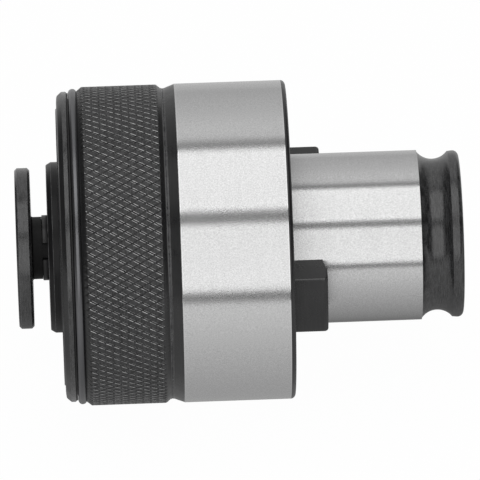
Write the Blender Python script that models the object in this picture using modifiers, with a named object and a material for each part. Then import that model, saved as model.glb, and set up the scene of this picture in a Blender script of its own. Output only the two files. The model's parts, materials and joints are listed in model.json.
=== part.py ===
"""Tapping chuck with an adjustable overload clutch and a quick-release nose.

The tool axis lies along X: the shank points to +X, the tap goes in at -X and +Z is up.
Every turned piece is drawn upright, as points of (radius, station), and an empty lays the tool on its side.
A station is measured along the axis from the rear face of the clutch body, positive towards the shank end.
"""

import math

import bmesh
import bpy
from mathutils import Matrix, Vector

MM = 0.001

# Shank, with the ball groove that the holder locks in
SHANK_DIAMETER = 30.0 * MM
SHANK_LENGTH = 30.0 * MM
GROOVE_DEPTH = 1.65 * MM
GROOVE_ARC_RADIUS = 3.4 * MM
GROOVE_SETBACK = 4.6 * MM
END_FLANGE_DROP = 0.18 * MM
END_FLANGE_ROUNDING = 1.0 * MM
SHANK_WALL = 2.35 * MM
RECESS_CHAMFER = 0.5 * MM

# Two drive lugs on the rear face
LUG_HEIGHT = 5.8 * MM
LUG_WIDTH = 11.4 * MM
LUG_CIRCLE_DIAMETER = 40.0 * MM
LUG_ROUNDING = 0.7 * MM
LUG_ROOT = 0.6 * MM

# Clutch body
BODY_LENGTH = 21.66 * MM
BODY_REAR_ROUNDING = 0.9 * MM
CONE_LENGTH = 1.86 * MM
CONE_DROP = 0.74 * MM
DRIVE_WALL = 7.25 * MM
CUP_WALL = 3.6 * MM
THREAD_CHAMFER = 0.8 * MM
KEYWAY_WIDTH = 4.0 * MM
KEYWAY_DEPTH = 2.0 * MM
KEYWAYS = 2

# Overload clutch: balls held in pockets of the body, which rest in shallow dimples of the clutch plate
CLUTCH_BALLS = 8
CLUTCH_BALL_DIAMETER = 5.0 * MM
CLUTCH_BALL_STANDOFF = 1.0 * MM
CLUTCH_BALL_PASS = 0.05 * MM
CLUTCH_CAGE_THICKNESS = 2.2 * MM
CLUTCH_PLATE_THICKNESS = 4.2 * MM
CLUTCH_LIFT = 1.0 * MM
CLUTCH_HUB_WALL = 3.4 * MM
KEYS = 2
KEY_WIDTH = 3.0 * MM
KEY_HEIGHT = 3.0 * MM
KEY_SINK = 1.2 * MM

# Thrust bearing between clutch plate and springs
THRUST_BALLS = 10
THRUST_BALL_DIAMETER = 3.0 * MM
THRUST_GAP = 2.4 * MM
RACE_THICKNESS = 1.5 * MM
RACE_WIDTH = 6.8 * MM
RACE_CLEARANCE = 0.7 * MM
THRUST_CAGE_THICKNESS = 1.2 * MM
THRUST_CAGE_WIDTH = 5.0 * MM

# Disc springs and the keyed ring that presses on them
DISC_SPRINGS = 4
SPRING_THICKNESS = 1.2 * MM
SPRING_CONE = 1.3 * MM
SPRING_BORE_CLEARANCE = 2.0 * MM
PRESSURE_RING_THICKNESS = 1.6 * MM
PRESSURE_BORE_CLEARANCE = 3.0 * MM

# Knurled adjusting ring
RING_WALL = 3.23 * MM
RING_INSET = 0.03 * MM
RING_WEB = 2.9 * MM
RING_WEB_LAP = 3.7 * MM
RING_FRONT_CHAMFER = 0.7 * MM
RING_REAR_CHAMFER = 0.9 * MM
RING_REAR_DROP = 0.73 * MM
ADJUST_GAP = 0.34 * MM

# Wire lock ring
WIRE_DIAMETER = 1.4 * MM
WIRE_INSET = 0.27 * MM
WIRE_SIDE_GAP = 0.15 * MM
WIRE_SPLIT_DEG = 5.0

# Front cap with its boss
CAP_INSET = 0.73 * MM
CAP_THICKNESS = 2.1 * MM
CAP_ROUNDING = 1.3 * MM
CAP_RIM = 2.9 * MM
CAP_FACE_STEP = 0.18 * MM
BOSS_WALL = 4.77 * MM
BOSS_LENGTH = 2.05 * MM
BOSS_ROUNDING = 0.6 * MM
SEAL_WIRE = 1.2 * MM
SEAL_GAP = 0.15 * MM

# Tap spindle
JOURNAL_STEP = 0.8 * MM
CLUTCH_SEAT_STEP = 1.2 * MM
TAIL_PAST_RING = 1.1 * MM
TAIL_CHAMFER = 0.5 * MM
TAP_BORE = 6.0 * MM
TAP_BORE_DEPTH = 26.0 * MM
TAP_SQUARE = 4.5 * MM
TAP_SQUARE_DEPTH = 8.0 * MM
COOLANT_BORE = 4.0 * MM
NOSE_WALL = 1.2 * MM
NOSE_SETBACK = 0.5 * MM
JOURNAL_SETBACK = 0.25 * MM
POCKET_CLEARANCE = 0.7 * MM

# Tail bush and retaining ring
BUSH_WALL = 1.4 * MM
BUSH_LENGTH = 13.25 * MM
SHANK_WEB = 1.7 * MM
TAIL_RING_THICKNESS = 1.2 * MM
TAIL_RING_HEIGHT = 2.4 * MM
TAIL_RING_CLEARANCE = 1.4 * MM
TAIL_GROOVE_DEPTH = 1.1 * MM

# Release sleeve: finger disc, neck and tail
DISC_DIAMETER = 28.4 * MM
DISC_THICKNESS = 2.65 * MM
DISC_ROUNDING = 0.5 * MM
DISC_MOUTH_CLEARANCE = 0.65 * MM
DISC_MOUTH_DEPTH = 2.2 * MM
NECK_WALL = 1.0 * MM
NECK_FILLET = 0.35 * MM
RELEASE_GAP = 2.9 * MM
RELEASE_TRAVEL = 2.0 * MM
SLEEVE_TAIL = 2.3 * MM
STOP_RING_RISE = 0.26 * MM
STOP_RING_HEIGHT = 0.61 * MM
STOP_RING_WIDTH = 0.95 * MM
STOP_RING_SPLIT = 3.0 * MM
STOP_RING_SPLIT_DEG = 31.0
STOP_RING_GAP = 0.1 * MM
STOP_GROOVE_DEPTH = 0.5 * MM
NOSE_RING_THICKNESS = 0.7 * MM
NOSE_RING_HEIGHT = 1.2 * MM
NOSE_RING_FIT = 0.15 * MM
NOSE_GROOVE_DEPTH = 0.5 * MM
LOCKING_BALLS = 3
LOCKING_BALL_DIAMETER = 1.8 * MM
LOCKING_BALL_SINK = 0.15 * MM
BALL_LAND_FIT = 0.1 * MM
BALL_HOLE_FIT = 0.15 * MM

# Release spring
COIL_WIRE = 0.8 * MM
COIL_TURNS = 5
COIL_LENGTH = 6.8 * MM
COIL_CLOSED_PITCH = 0.92 * MM

# Running and seating clearances
FIT = 0.3 * MM
SEAT = 0.3 * MM
RING_GROOVE_FIT = 0.15 * MM
BALL_FIT = 0.3 * MM
HUB_SHORT = 0.3 * MM
CUT_PAST = 1.0 * MM

# Facets round a circle
LARGE_STEPS = 36
MIDDLE_STEPS = 28
SMALL_STEPS = 24
COIL_STEPS = 8
CORNER_STEPS = 2
GROOVE_STEPS = 6
RACE_STEPS = 3
SEAL_STEPS = 6
CAGE_HOLE_STEPS = 10
BALL_HOLE_STEPS = 8

# Radii of the shank and of the spindle's tail in it
SHANK_RADIUS = SHANK_DIAMETER / 2
GROOVE_BOTTOM_RADIUS = SHANK_RADIUS - GROOVE_DEPTH
CREST_RADIUS = SHANK_RADIUS - END_FLANGE_DROP
RECESS_RADIUS = GROOVE_BOTTOM_RADIUS - SHANK_WALL
TAIL_RING_RADIUS = RECESS_RADIUS - TAIL_RING_CLEARANCE
TAIL_RING_BORE_RADIUS = TAIL_RING_RADIUS - TAIL_RING_HEIGHT
TAIL_GROOVE_RADIUS = TAIL_RING_BORE_RADIUS - FIT
TAIL_RADIUS = TAIL_GROOVE_RADIUS + TAIL_GROOVE_DEPTH
BUSH_BORE_RADIUS = TAIL_RADIUS + FIT
BUSH_RADIUS = BUSH_BORE_RADIUS + BUSH_WALL
BUSH_SEAT_RADIUS = BUSH_RADIUS + FIT

# Radii from the spindle outwards, through the clutch to the outer pieces
SEAT_RADIUS = TAIL_RADIUS + CLUTCH_SEAT_STEP
JOURNAL_RADIUS = SEAT_RADIUS + JOURNAL_STEP
PLATE_BORE_RADIUS = SEAT_RADIUS + FIT
HUB_RADIUS = PLATE_BORE_RADIUS + CLUTCH_HUB_WALL
RACE_BORE_RADIUS = HUB_RADIUS + FIT
TRACK_RADIUS = RACE_BORE_RADIUS + RACE_WIDTH / 2
RACE_RADIUS = RACE_BORE_RADIUS + RACE_WIDTH
STACK_RADIUS = RACE_RADIUS + RACE_CLEARANCE
CUP_RADIUS = STACK_RADIUS + FIT
THREAD_RADIUS = CUP_RADIUS + CUP_WALL
RING_BORE_RADIUS = THREAD_RADIUS + FIT
RING_RADIUS = RING_BORE_RADIUS + RING_WALL
BODY_RADIUS = RING_RADIUS + RING_INSET
RING_WEB_BORE_RADIUS = STACK_RADIUS - RING_WEB_LAP
WIRE_OUTER_RADIUS = RING_RADIUS - WIRE_INSET
CAP_RADIUS = RING_RADIUS - CAP_INSET
CAP_BORE_RADIUS = JOURNAL_RADIUS + FIT
BOSS_RADIUS = CAP_BORE_RADIUS + BOSS_WALL

# Radii of the balls and their tracks
CLUTCH_BALL_RADIUS = CLUTCH_BALL_DIAMETER / 2
CLUTCH_POCKET_RADIUS = CLUTCH_BALL_RADIUS + BALL_FIT
RACE_GROOVE_RADIUS = THRUST_BALL_DIAMETER / 2 + BALL_FIT
LOCKING_BALL_RADIUS = LOCKING_BALL_DIAMETER / 2
LOCKING_BALL_TRACK = TAP_BORE / 2 - LOCKING_BALL_SINK + LOCKING_BALL_RADIUS

# Radii from the tap outwards, through the nose and the release sleeve
NOSE_RADIUS = TAP_BORE / 2 + NOSE_WALL
NOSE_GROOVE_RADIUS = NOSE_RADIUS - NOSE_GROOVE_DEPTH
NOSE_RING_BORE_RADIUS = NOSE_GROOVE_RADIUS + NOSE_RING_FIT
NOSE_RING_RADIUS = NOSE_RING_BORE_RADIUS + NOSE_RING_HEIGHT
DISC_MOUTH_RADIUS = NOSE_RING_RADIUS + DISC_MOUTH_CLEARANCE
SLEEVE_BORE_RADIUS = NOSE_RADIUS + FIT
NECK_RADIUS = SLEEVE_BORE_RADIUS + NECK_WALL
POCKET_RADIUS = NECK_RADIUS + POCKET_CLEARANCE
STOP_RING_RADIUS = NECK_RADIUS + STOP_RING_RISE

# Stations from the rear face forward, through the clutch and the springs
CUP_FLOOR = -DRIVE_WALL
CLUTCH_MIDDLE = CUP_FLOOR - CLUTCH_BALL_STANDOFF
PLATE_REAR = CLUTCH_MIDDLE - CLUTCH_BALL_RADIUS - CLUTCH_BALL_PASS
PLATE_FRONT = PLATE_REAR - CLUTCH_PLATE_THICKNESS
REAR_RACE_FACE = PLATE_FRONT - SEAT - RACE_THICKNESS
THRUST_MIDDLE = REAR_RACE_FACE - THRUST_GAP / 2
FRONT_RACE_FACE = REAR_RACE_FACE - THRUST_GAP
SPRING_START = FRONT_RACE_FACE - RACE_THICKNESS - SEAT
HUB_FRONT = FRONT_RACE_FACE - RACE_THICKNESS + HUB_SHORT
SPRING_PITCH = SPRING_THICKNESS + SPRING_CONE + SEAT
SPRING_END = SPRING_START - DISC_SPRINGS * SPRING_PITCH
PRESSURE_FRONT = SPRING_END - PRESSURE_RING_THICKNESS
WEB_REAR = PRESSURE_FRONT - SEAT
THREAD_END = WEB_REAR + SEAT

# Stations of the outer pieces
SHOULDER = -BODY_LENGTH
RING_REAR = SHOULDER - ADJUST_GAP
RING_FRONT = WEB_REAR - RING_WEB
WIRE_MIDDLE = RING_FRONT - WIRE_SIDE_GAP - WIRE_DIAMETER / 2
CAP_REAR = WIRE_MIDDLE - WIRE_DIAMETER / 2 - WIRE_SIDE_GAP
CAP_FRONT = CAP_REAR - CAP_THICKNESS
BOSS_FRONT = CAP_FRONT - BOSS_LENGTH
DISC_REAR = BOSS_FRONT - RELEASE_GAP
DISC_FRONT = DISC_REAR - DISC_THICKNESS

# Stations of the spindle, the sleeve and the tail
NOSE_FRONT = DISC_FRONT + NOSE_SETBACK
MOUTH_FLOOR = DISC_FRONT + DISC_MOUTH_DEPTH
LOCKING_BALL_STATION = MOUTH_FLOOR + RELEASE_TRAVEL - LOCKING_BALL_RADIUS
NOSE_RING_REAR = MOUTH_FLOOR - SEAT
NOSE_RING_FRONT = NOSE_RING_REAR - NOSE_RING_THICKNESS
JOURNAL_FRONT = BOSS_FRONT + JOURNAL_SETBACK
SLEEVE_END = BOSS_FRONT + SLEEVE_TAIL
COIL_FRONT = SLEEVE_END + SEAT
POCKET_FLOOR = COIL_FRONT + COIL_LENGTH + SEAT
SEAT_FRONT = HUB_FRONT - CLUTCH_LIFT
SEAT_REAR = CUP_FLOOR - SEAT
STOP_RING_REAR = BOSS_FRONT - STOP_RING_GAP
STOP_RING_FRONT = STOP_RING_REAR - STOP_RING_WIDTH
SQUARE_REAR = NOSE_FRONT + TAP_BORE_DEPTH + TAP_SQUARE_DEPTH
BUSH_REAR = CUP_FLOOR + BUSH_LENGTH
WEB_FACE = BUSH_REAR + SEAT + SHANK_WEB
TAIL_RING_FRONT = WEB_FACE + SEAT
TAIL_RING_REAR = TAIL_RING_FRONT + TAIL_RING_THICKNESS
TAIL_END = TAIL_RING_REAR + TAIL_PAST_RING

# The frame's origin is the middle of the whole tool, so the rear face lies this far along +X
GAUGE_X = -(SHANK_LENGTH + DISC_FRONT) / 2


# Scene, collections and materials

def clear_scene():
    for obj in list(bpy.data.objects):
        bpy.data.objects.remove(obj)


def add_collection(name):
    collection = bpy.data.collections.new(name)
    bpy.context.scene.collection.children.link(collection)
    return collection


def metal(name, colour, roughness, metallic=1.0):
    material = bpy.data.materials.new(name)
    material.use_nodes = True
    shader = material.node_tree.nodes["Principled BSDF"]
    shader.inputs["Base Color"].default_value = (*colour, 1.0)
    shader.inputs["Roughness"].default_value = roughness
    shader.inputs["Metallic"].default_value = metallic
    return material


def add_empty(name, parent=None):
    empty = bpy.data.objects.new(name, None)
    empty.empty_display_size = 0.02
    parts.objects.link(empty)
    empty.parent = parent
    return empty


def place(obj, material, parent):
    parts.objects.link(obj)
    obj.data.materials.append(material)
    obj.parent = parent
    return obj


def place_cutter(obj, parent):
    cutters.objects.link(obj)
    obj.parent = parent
    obj.hide_render = True
    obj.display_type = "WIRE"
    return obj


# Shapes

def arc(centre_radius, centre_station, radius, start_deg, end_deg, steps=CORNER_STEPS):
    """Points on an arc, where 0 degrees points outwards and 90 degrees towards the shank end."""
    points = []
    for i in range(steps + 1):
        angle = math.radians(start_deg + (end_deg - start_deg) * i / steps)
        points.append((centre_radius + radius * math.cos(angle), centre_station + radius * math.sin(angle)))
    return points


def turned_object(name, outline, steps):
    """A closed outline turned about the axis; its outer side runs from the shank end to the nose."""
    mesh = bpy.data.meshes.new(name)
    points = [(radius, 0.0, station) for radius, station in outline]
    count = len(points)
    mesh.from_pydata(points, [(i, (i + 1) % count) for i in range(count)], [])
    obj = bpy.data.objects.new(name, mesh)
    screw = obj.modifiers.new("turn", "SCREW")
    screw.axis = "Z"
    screw.angle = math.tau
    screw.steps = steps
    screw.render_steps = steps
    screw.use_merge_vertices = True
    screw.merge_threshold = 0.00001
    screw.use_smooth_shade = True
    return obj


def turned(name, outline, material, parent, steps=LARGE_STEPS):
    return place(turned_object(name, outline, steps), material, parent)


def washer(outer_radius, inner_radius, rear, front, chamfer=0.0):
    """The outline of a flat ring, with its outer edges chamfered where a chamfer is given."""
    if chamfer == 0.0:
        return [(inner_radius, rear), (outer_radius, rear), (outer_radius, front), (inner_radius, front)]
    return [
        (inner_radius, rear),
        (outer_radius - chamfer, rear),
        (outer_radius, rear - chamfer),
        (outer_radius, front + chamfer),
        (outer_radius - chamfer, front),
        (inner_radius, front),
    ]


def mesh_object(name, form):
    """Turns a bmesh into an object."""
    mesh = bpy.data.meshes.new(name)
    form.to_mesh(mesh)
    form.free()
    return bpy.data.objects.new(name, mesh)


def on_circle(track_radius, angle, station):
    return Vector((track_radius * math.cos(angle), track_radius * math.sin(angle), station))


def ball_set(name, count, radius, track_radius, station, parent):
    """Loose balls evenly spaced on a circle round the axis, each its own object on one mesh."""
    form = bmesh.new()
    bmesh.ops.create_icosphere(form, subdivisions=2, radius=radius)
    mesh = bpy.data.meshes.new(name)
    form.to_mesh(mesh)
    form.free()
    mesh.materials.append(polished_steel)
    mesh.shade_smooth()
    for i in range(count):
        ball = bpy.data.objects.new(f"{name}_{i + 1}", mesh)
        ball.location = on_circle(track_radius, math.tau * i / count, station)
        ball.parent = parent
        parts.objects.link(ball)


def ball_cutter(name, count, radius, track_radius, station):
    """Balls for cutting pockets, all in one cutter."""
    form = bmesh.new()
    for i in range(count):
        centre = on_circle(track_radius, math.tau * i / count, station)
        bmesh.ops.create_icosphere(form, subdivisions=2, radius=radius, matrix=Matrix.Translation(centre))
    return mesh_object(name, form)


def radial_blocks(name, count, inner, outer, width, rear, front, first_deg=0.0):
    """Rectangular blocks that point outwards from the axis."""
    form = bmesh.new()
    size = Matrix.Diagonal((outer - inner, width, rear - front, 1.0))
    move = Matrix.Translation(((outer + inner) / 2, 0.0, (rear + front) / 2))
    for i in range(count):
        turn = Matrix.Rotation(math.radians(first_deg) + math.tau * i / count, 4, "Z")
        bmesh.ops.create_cube(form, size=1.0, matrix=turn @ move @ size)
    return mesh_object(name, form)


def radial_drills(name, count, radius, inner, outer, station, first_deg=0.0):
    """Round drills that point outwards from the axis."""
    form = bmesh.new()
    for i in range(count):
        turn = Matrix.Rotation(math.radians(first_deg) + math.tau * i / count, 4, "Z")
        lie = Matrix.Rotation(math.radians(90), 4, "Y")
        move = Matrix.Translation(((inner + outer) / 2, 0.0, station))
        bmesh.ops.create_cone(
            form, cap_ends=True, segments=BALL_HOLE_STEPS, radius1=radius, radius2=radius, depth=outer - inner,
            matrix=turn @ move @ lie,
        )
    return mesh_object(name, form)


def axial_drills(name, count, radius, track_radius, rear, front):
    """Round drills along the axis, on a circle round it."""
    form = bmesh.new()
    for i in range(count):
        angle = math.tau * i / count
        centre = (track_radius * math.cos(angle), track_radius * math.sin(angle), (rear + front) / 2)
        bmesh.ops.create_cone(
            form, cap_ends=True, segments=CAGE_HOLE_STEPS, radius1=radius, radius2=radius, depth=rear - front,
            matrix=Matrix.Translation(centre),
        )
    return mesh_object(name, form)


def boolean(target, tool, operation):
    change = target.modifiers.new(operation.lower(), "BOOLEAN")
    change.operation = operation
    change.solver = "EXACT"
    change.object = tool


def cut(target, tool, parent):
    boolean(target, place_cutter(tool, parent), "DIFFERENCE")


def join(target, tool, parent):
    boolean(target, place_cutter(tool, parent), "UNION")


# Drive body

def groove_outline():
    """The ball groove: an arc that leaves the shank's surface and rises again to the end flange."""
    centre_radius = GROOVE_BOTTOM_RADIUS + GROOVE_ARC_RADIUS
    centre_station = SHANK_LENGTH - GROOVE_SETBACK
    rise_rear = math.degrees(math.asin((centre_radius - CREST_RADIUS) / GROOVE_ARC_RADIUS))
    rise_front = math.degrees(math.asin((centre_radius - SHANK_RADIUS) / GROOVE_ARC_RADIUS))
    return arc(centre_radius, centre_station, GROOVE_ARC_RADIUS, 90 + rise_rear, 270 - rise_front, GROOVE_STEPS)


def drive_body_outline():
    outline = [
        (RECESS_RADIUS, WEB_FACE),
        (RECESS_RADIUS, SHANK_LENGTH - RECESS_CHAMFER),
        (RECESS_RADIUS + RECESS_CHAMFER, SHANK_LENGTH),
    ]
    outline += arc(
        CREST_RADIUS - END_FLANGE_ROUNDING, SHANK_LENGTH - END_FLANGE_ROUNDING, END_FLANGE_ROUNDING, 90, 0
    )
    outline += groove_outline()
    outline.append((SHANK_RADIUS, 0.0))
    outline += arc(BODY_RADIUS - BODY_REAR_ROUNDING, -BODY_REAR_ROUNDING, BODY_REAR_ROUNDING, 90, 0)
    outline += [
        (BODY_RADIUS, SHOULDER + CONE_LENGTH),
        (BODY_RADIUS - CONE_DROP, SHOULDER),
        (THREAD_RADIUS, SHOULDER),
        (THREAD_RADIUS, THREAD_END + THREAD_CHAMFER),
        (THREAD_RADIUS - THREAD_CHAMFER, THREAD_END),
        (CUP_RADIUS, THREAD_END),
        (CUP_RADIUS, CUP_FLOOR),
        (BUSH_SEAT_RADIUS, CUP_FLOOR),
        (BUSH_SEAT_RADIUS, BUSH_REAR + SEAT),
        (BUSH_BORE_RADIUS, BUSH_REAR + SEAT),
        (BUSH_BORE_RADIUS, WEB_FACE),
    ]
    return outline


def make_lugs():
    """A collar on the rear face, cut down to two lugs with parallel flanks."""
    inner = SHANK_RADIUS - LUG_ROOT
    outer = LUG_CIRCLE_DIAMETER / 2
    outline = [(inner, LUG_HEIGHT)]
    outline += arc(outer - LUG_ROUNDING, LUG_HEIGHT - LUG_ROUNDING, LUG_ROUNDING, 90, 0)
    outline += [(outer, -CUT_PAST), (inner, -CUT_PAST)]
    collar = turned_object("lugs", outline, LARGE_STEPS)
    form = bmesh.new()
    length = LUG_CIRCLE_DIAMETER + 2 * CUT_PAST
    height = 2 * (LUG_HEIGHT + CUT_PAST)
    bmesh.ops.create_cube(form, size=1.0, matrix=Matrix.Diagonal((LUG_WIDTH, length, height, 1.0)))
    slab = place_cutter(mesh_object("lug_slab", form), drive)
    boolean(collar, slab, "INTERSECT")
    return collar


def make_drive_body():
    body = turned("drive_body", drive_body_outline(), ground_steel, drive)
    join(body, make_lugs(), drive)
    pockets = ball_cutter("pocket_cutter", CLUTCH_BALLS, CLUTCH_POCKET_RADIUS, TRACK_RADIUS, CLUTCH_MIDDLE)
    cut(body, pockets, drive)
    keyways = radial_blocks(
        "keyway_cutter", KEYWAYS, CUP_RADIUS - CUT_PAST, CUP_RADIUS + KEYWAY_DEPTH, KEYWAY_WIDTH,
        SPRING_END + CUT_PAST, THREAD_END - CUT_PAST,
    )
    cut(body, keyways, drive)


def make_tail_bearing():
    turned("tail_bush", washer(BUSH_RADIUS, BUSH_BORE_RADIUS, BUSH_REAR, CUP_FLOOR), bronze, drive, SMALL_STEPS)


# Overload clutch

def make_clutch():
    ball_set("clutch_ball", CLUTCH_BALLS, CLUTCH_BALL_RADIUS, TRACK_RADIUS, CLUTCH_MIDDLE, drive)

    cage_rear = CUP_FLOOR - SEAT
    cage_front = cage_rear - CLUTCH_CAGE_THICKNESS
    cage_bore = 2 * TRACK_RADIUS - STACK_RADIUS
    cage = turned("clutch_cage", washer(STACK_RADIUS, cage_bore, cage_rear, cage_front), bronze, drive, SMALL_STEPS)
    holes = axial_drills(
        "cage_cutter", CLUTCH_BALLS, CLUTCH_POCKET_RADIUS, TRACK_RADIUS, cage_rear + CUT_PAST, cage_front - CUT_PAST
    )
    cut(cage, holes, drive)

    plate = turned(
        "clutch_plate",
        [
            (PLATE_BORE_RADIUS, PLATE_REAR),
            (STACK_RADIUS, PLATE_REAR),
            (STACK_RADIUS, PLATE_FRONT),
            (HUB_RADIUS, PLATE_FRONT),
            (HUB_RADIUS, HUB_FRONT),
            (PLATE_BORE_RADIUS, HUB_FRONT),
        ],
        hard_steel, spindle, SMALL_STEPS,
    )
    pockets = ball_cutter("plate_pocket_cutter", CLUTCH_BALLS, CLUTCH_POCKET_RADIUS, TRACK_RADIUS, CLUTCH_MIDDLE)
    cut(plate, pockets, spindle)
    cut(plate, key_slots("plate_key_cutter", PLATE_REAR + CUT_PAST, PLATE_FRONT), spindle)

    key_inner = SEAT_RADIUS - KEY_SINK
    for i in range(KEYS):
        key = radial_blocks(
            f"clutch_key_{i + 1}", 1, key_inner, key_inner + KEY_HEIGHT, KEY_WIDTH, PLATE_REAR - SEAT,
            PLATE_FRONT + SEAT, first_deg=i * 360.0 / KEYS,
        )
        place(key, hard_steel, spindle)


def key_slots(name, rear, front):
    """Slots for the clutch keys, with the fit left on every side."""
    inner = SEAT_RADIUS - KEY_SINK - FIT
    outer = SEAT_RADIUS - KEY_SINK + KEY_HEIGHT + FIT
    return radial_blocks(name, KEYS, inner, outer, KEY_WIDTH + 2 * FIT, rear, front)


# Thrust bearing and springs

def race_outline(face, back):
    """A race with a ball groove in its face; face and back are its two stations."""
    inner = RACE_BORE_RADIUS
    outer = RACE_RADIUS
    drop = THRUST_GAP / 2
    half_angle = math.degrees(math.acos(drop / RACE_GROOVE_RADIUS))
    if face < back:
        groove = arc(TRACK_RADIUS, THRUST_MIDDLE, RACE_GROOVE_RADIUS, 90 - half_angle, 90 + half_angle, RACE_STEPS)
        return [(inner, back), (outer, back), (outer, face), *groove, (inner, face)]
    groove = arc(TRACK_RADIUS, THRUST_MIDDLE, RACE_GROOVE_RADIUS, 270 - half_angle, 270 + half_angle, RACE_STEPS)
    return [(inner, face), *groove, (outer, face), (outer, back), (inner, back)]


def make_thrust_bearing():
    rear_back = REAR_RACE_FACE + RACE_THICKNESS
    front_back = FRONT_RACE_FACE - RACE_THICKNESS
    turned("thrust_race_rear", race_outline(REAR_RACE_FACE, rear_back), polished_steel, spindle, SMALL_STEPS)
    turned("thrust_race_front", race_outline(FRONT_RACE_FACE, front_back), polished_steel, drive, SMALL_STEPS)
    ball_set("thrust_ball", THRUST_BALLS, THRUST_BALL_DIAMETER / 2, TRACK_RADIUS, THRUST_MIDDLE, drive)
    half = THRUST_CAGE_THICKNESS / 2
    cage = turned(
        "thrust_cage",
        washer(
            TRACK_RADIUS + THRUST_CAGE_WIDTH / 2, TRACK_RADIUS - THRUST_CAGE_WIDTH / 2,
            THRUST_MIDDLE + half, THRUST_MIDDLE - half,
        ),
        bronze, drive, SMALL_STEPS,
    )
    holes = axial_drills(
        "thrust_cage_cutter", THRUST_BALLS, RACE_GROOVE_RADIUS, TRACK_RADIUS,
        THRUST_MIDDLE + CUT_PAST, THRUST_MIDDLE - CUT_PAST,
    )
    cut(cage, holes, drive)


def make_springs():
    inner = JOURNAL_RADIUS + SPRING_BORE_CLEARANCE
    for i in range(DISC_SPRINGS):
        rear = SPRING_START - i * SPRING_PITCH
        outer_drop = SPRING_CONE if i % 2 else 0.0
        inner_drop = SPRING_CONE - outer_drop
        outline = [
            (inner, rear - inner_drop),
            (STACK_RADIUS, rear - outer_drop),
            (STACK_RADIUS, rear - outer_drop - SPRING_THICKNESS),
            (inner, rear - inner_drop - SPRING_THICKNESS),
        ]
        turned(f"disc_spring_{i + 1}", outline, spring_steel, pressure, SMALL_STEPS)


def make_pressure_ring():
    bore = JOURNAL_RADIUS + PRESSURE_BORE_CLEARANCE
    ring = turned(
        "pressure_ring", washer(STACK_RADIUS, bore, SPRING_END, PRESSURE_FRONT), hard_steel, pressure, SMALL_STEPS
    )
    tabs = radial_blocks(
        "pressure_tabs", KEYWAYS, STACK_RADIUS - CUT_PAST, CUP_RADIUS + KEYWAY_DEPTH - FIT, KEYWAY_WIDTH - 2 * FIT,
        SPRING_END, PRESSURE_FRONT,
    )
    join(ring, tabs, pressure)


# Adjusting ring, lock ring and cap

def make_adjusting_ring():
    outline = [
        (RING_BORE_RADIUS, RING_REAR),
        (RING_RADIUS - RING_REAR_DROP, RING_REAR),
        (RING_RADIUS, RING_REAR - RING_REAR_CHAMFER),
        (RING_RADIUS, RING_FRONT + RING_FRONT_CHAMFER),
        (RING_RADIUS - RING_FRONT_CHAMFER, RING_FRONT),
        (RING_WEB_BORE_RADIUS, RING_FRONT),
        (RING_WEB_BORE_RADIUS, WEB_REAR),
        (RING_BORE_RADIUS, WEB_REAR),
    ]
    turned("adjusting_ring", outline, black_oxide, adjuster)


def make_lock_ring():
    """A split wire ring; its ends meet at the side that faces away."""
    track = WIRE_OUTER_RADIUS - WIRE_DIAMETER / 2
    curve = bpy.data.curves.new("lock_ring", "CURVE")
    curve.dimensions = "3D"
    curve.bevel_depth = WIRE_DIAMETER / 2
    curve.bevel_resolution = 2
    curve.use_fill_caps = True
    spline = curve.splines.new("POLY")
    spline.points.add(LARGE_STEPS - 1)
    start = math.radians(90 + WIRE_SPLIT_DEG / 2)
    sweep = math.radians(360 - WIRE_SPLIT_DEG)
    for i, point in enumerate(spline.points):
        angle = start + sweep * i / (LARGE_STEPS - 1)
        point.co = (track * math.cos(angle), track * math.sin(angle), WIRE_MIDDLE, 1.0)
    place(bpy.data.objects.new("lock_ring", curve), black_oxide, adjuster)


def make_front_cap():
    wire_seat = WIRE_OUTER_RADIUS - WIRE_DIAMETER - FIT
    spigot = RING_WEB_BORE_RADIUS - FIT
    spigot_end = WEB_REAR - SEAT
    face = CAP_RADIUS - CAP_RIM
    step_station = CAP_FRONT + CAP_FACE_STEP
    seal_station = CAP_FRONT + SEAT
    seal_track = JOURNAL_RADIUS + SEAL_GAP + SEAL_WIRE / 2
    seal_floor = seal_track + SEAL_WIRE / 2 + SEAL_GAP
    groove_half = SEAL_WIRE / 2 + SEAT
    outline = [
        (CAP_BORE_RADIUS, spigot_end),
        (spigot, spigot_end),
        (spigot, RING_FRONT - SEAT),
        (wire_seat, RING_FRONT - SEAT),
        (wire_seat, CAP_REAR),
        (CAP_RADIUS, CAP_REAR),
    ]
    outline += arc(CAP_RADIUS - CAP_ROUNDING, step_station + CAP_ROUNDING, CAP_ROUNDING, 0, -90)
    outline += [(face, step_station), (face - CAP_FACE_STEP, CAP_FRONT), (BOSS_RADIUS, CAP_FRONT)]
    outline += arc(BOSS_RADIUS - BOSS_ROUNDING, BOSS_FRONT + BOSS_ROUNDING, BOSS_ROUNDING, 0, -90)
    outline += [
        (CAP_BORE_RADIUS, BOSS_FRONT),
        (CAP_BORE_RADIUS, seal_station - groove_half),
        (seal_floor, seal_station - groove_half),
        (seal_floor, seal_station + groove_half),
        (CAP_BORE_RADIUS, seal_station + groove_half),
    ]
    turned("front_cap", outline, black_oxide, adjuster)

    bpy.ops.mesh.primitive_torus_add(
        major_segments=SMALL_STEPS, minor_segments=SEAL_STEPS, major_radius=seal_track,
        minor_radius=SEAL_WIRE / 2, location=(0.0, 0.0, seal_station), generate_uvs=False,
    )
    seal = bpy.context.object
    seal.name = "front_seal"
    seal.data.name = "front_seal"
    for collection in list(seal.users_collection):
        collection.objects.unlink(seal)
    seal.data.shade_smooth()
    place(seal, rubber, adjuster)


# Tap spindle

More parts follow.
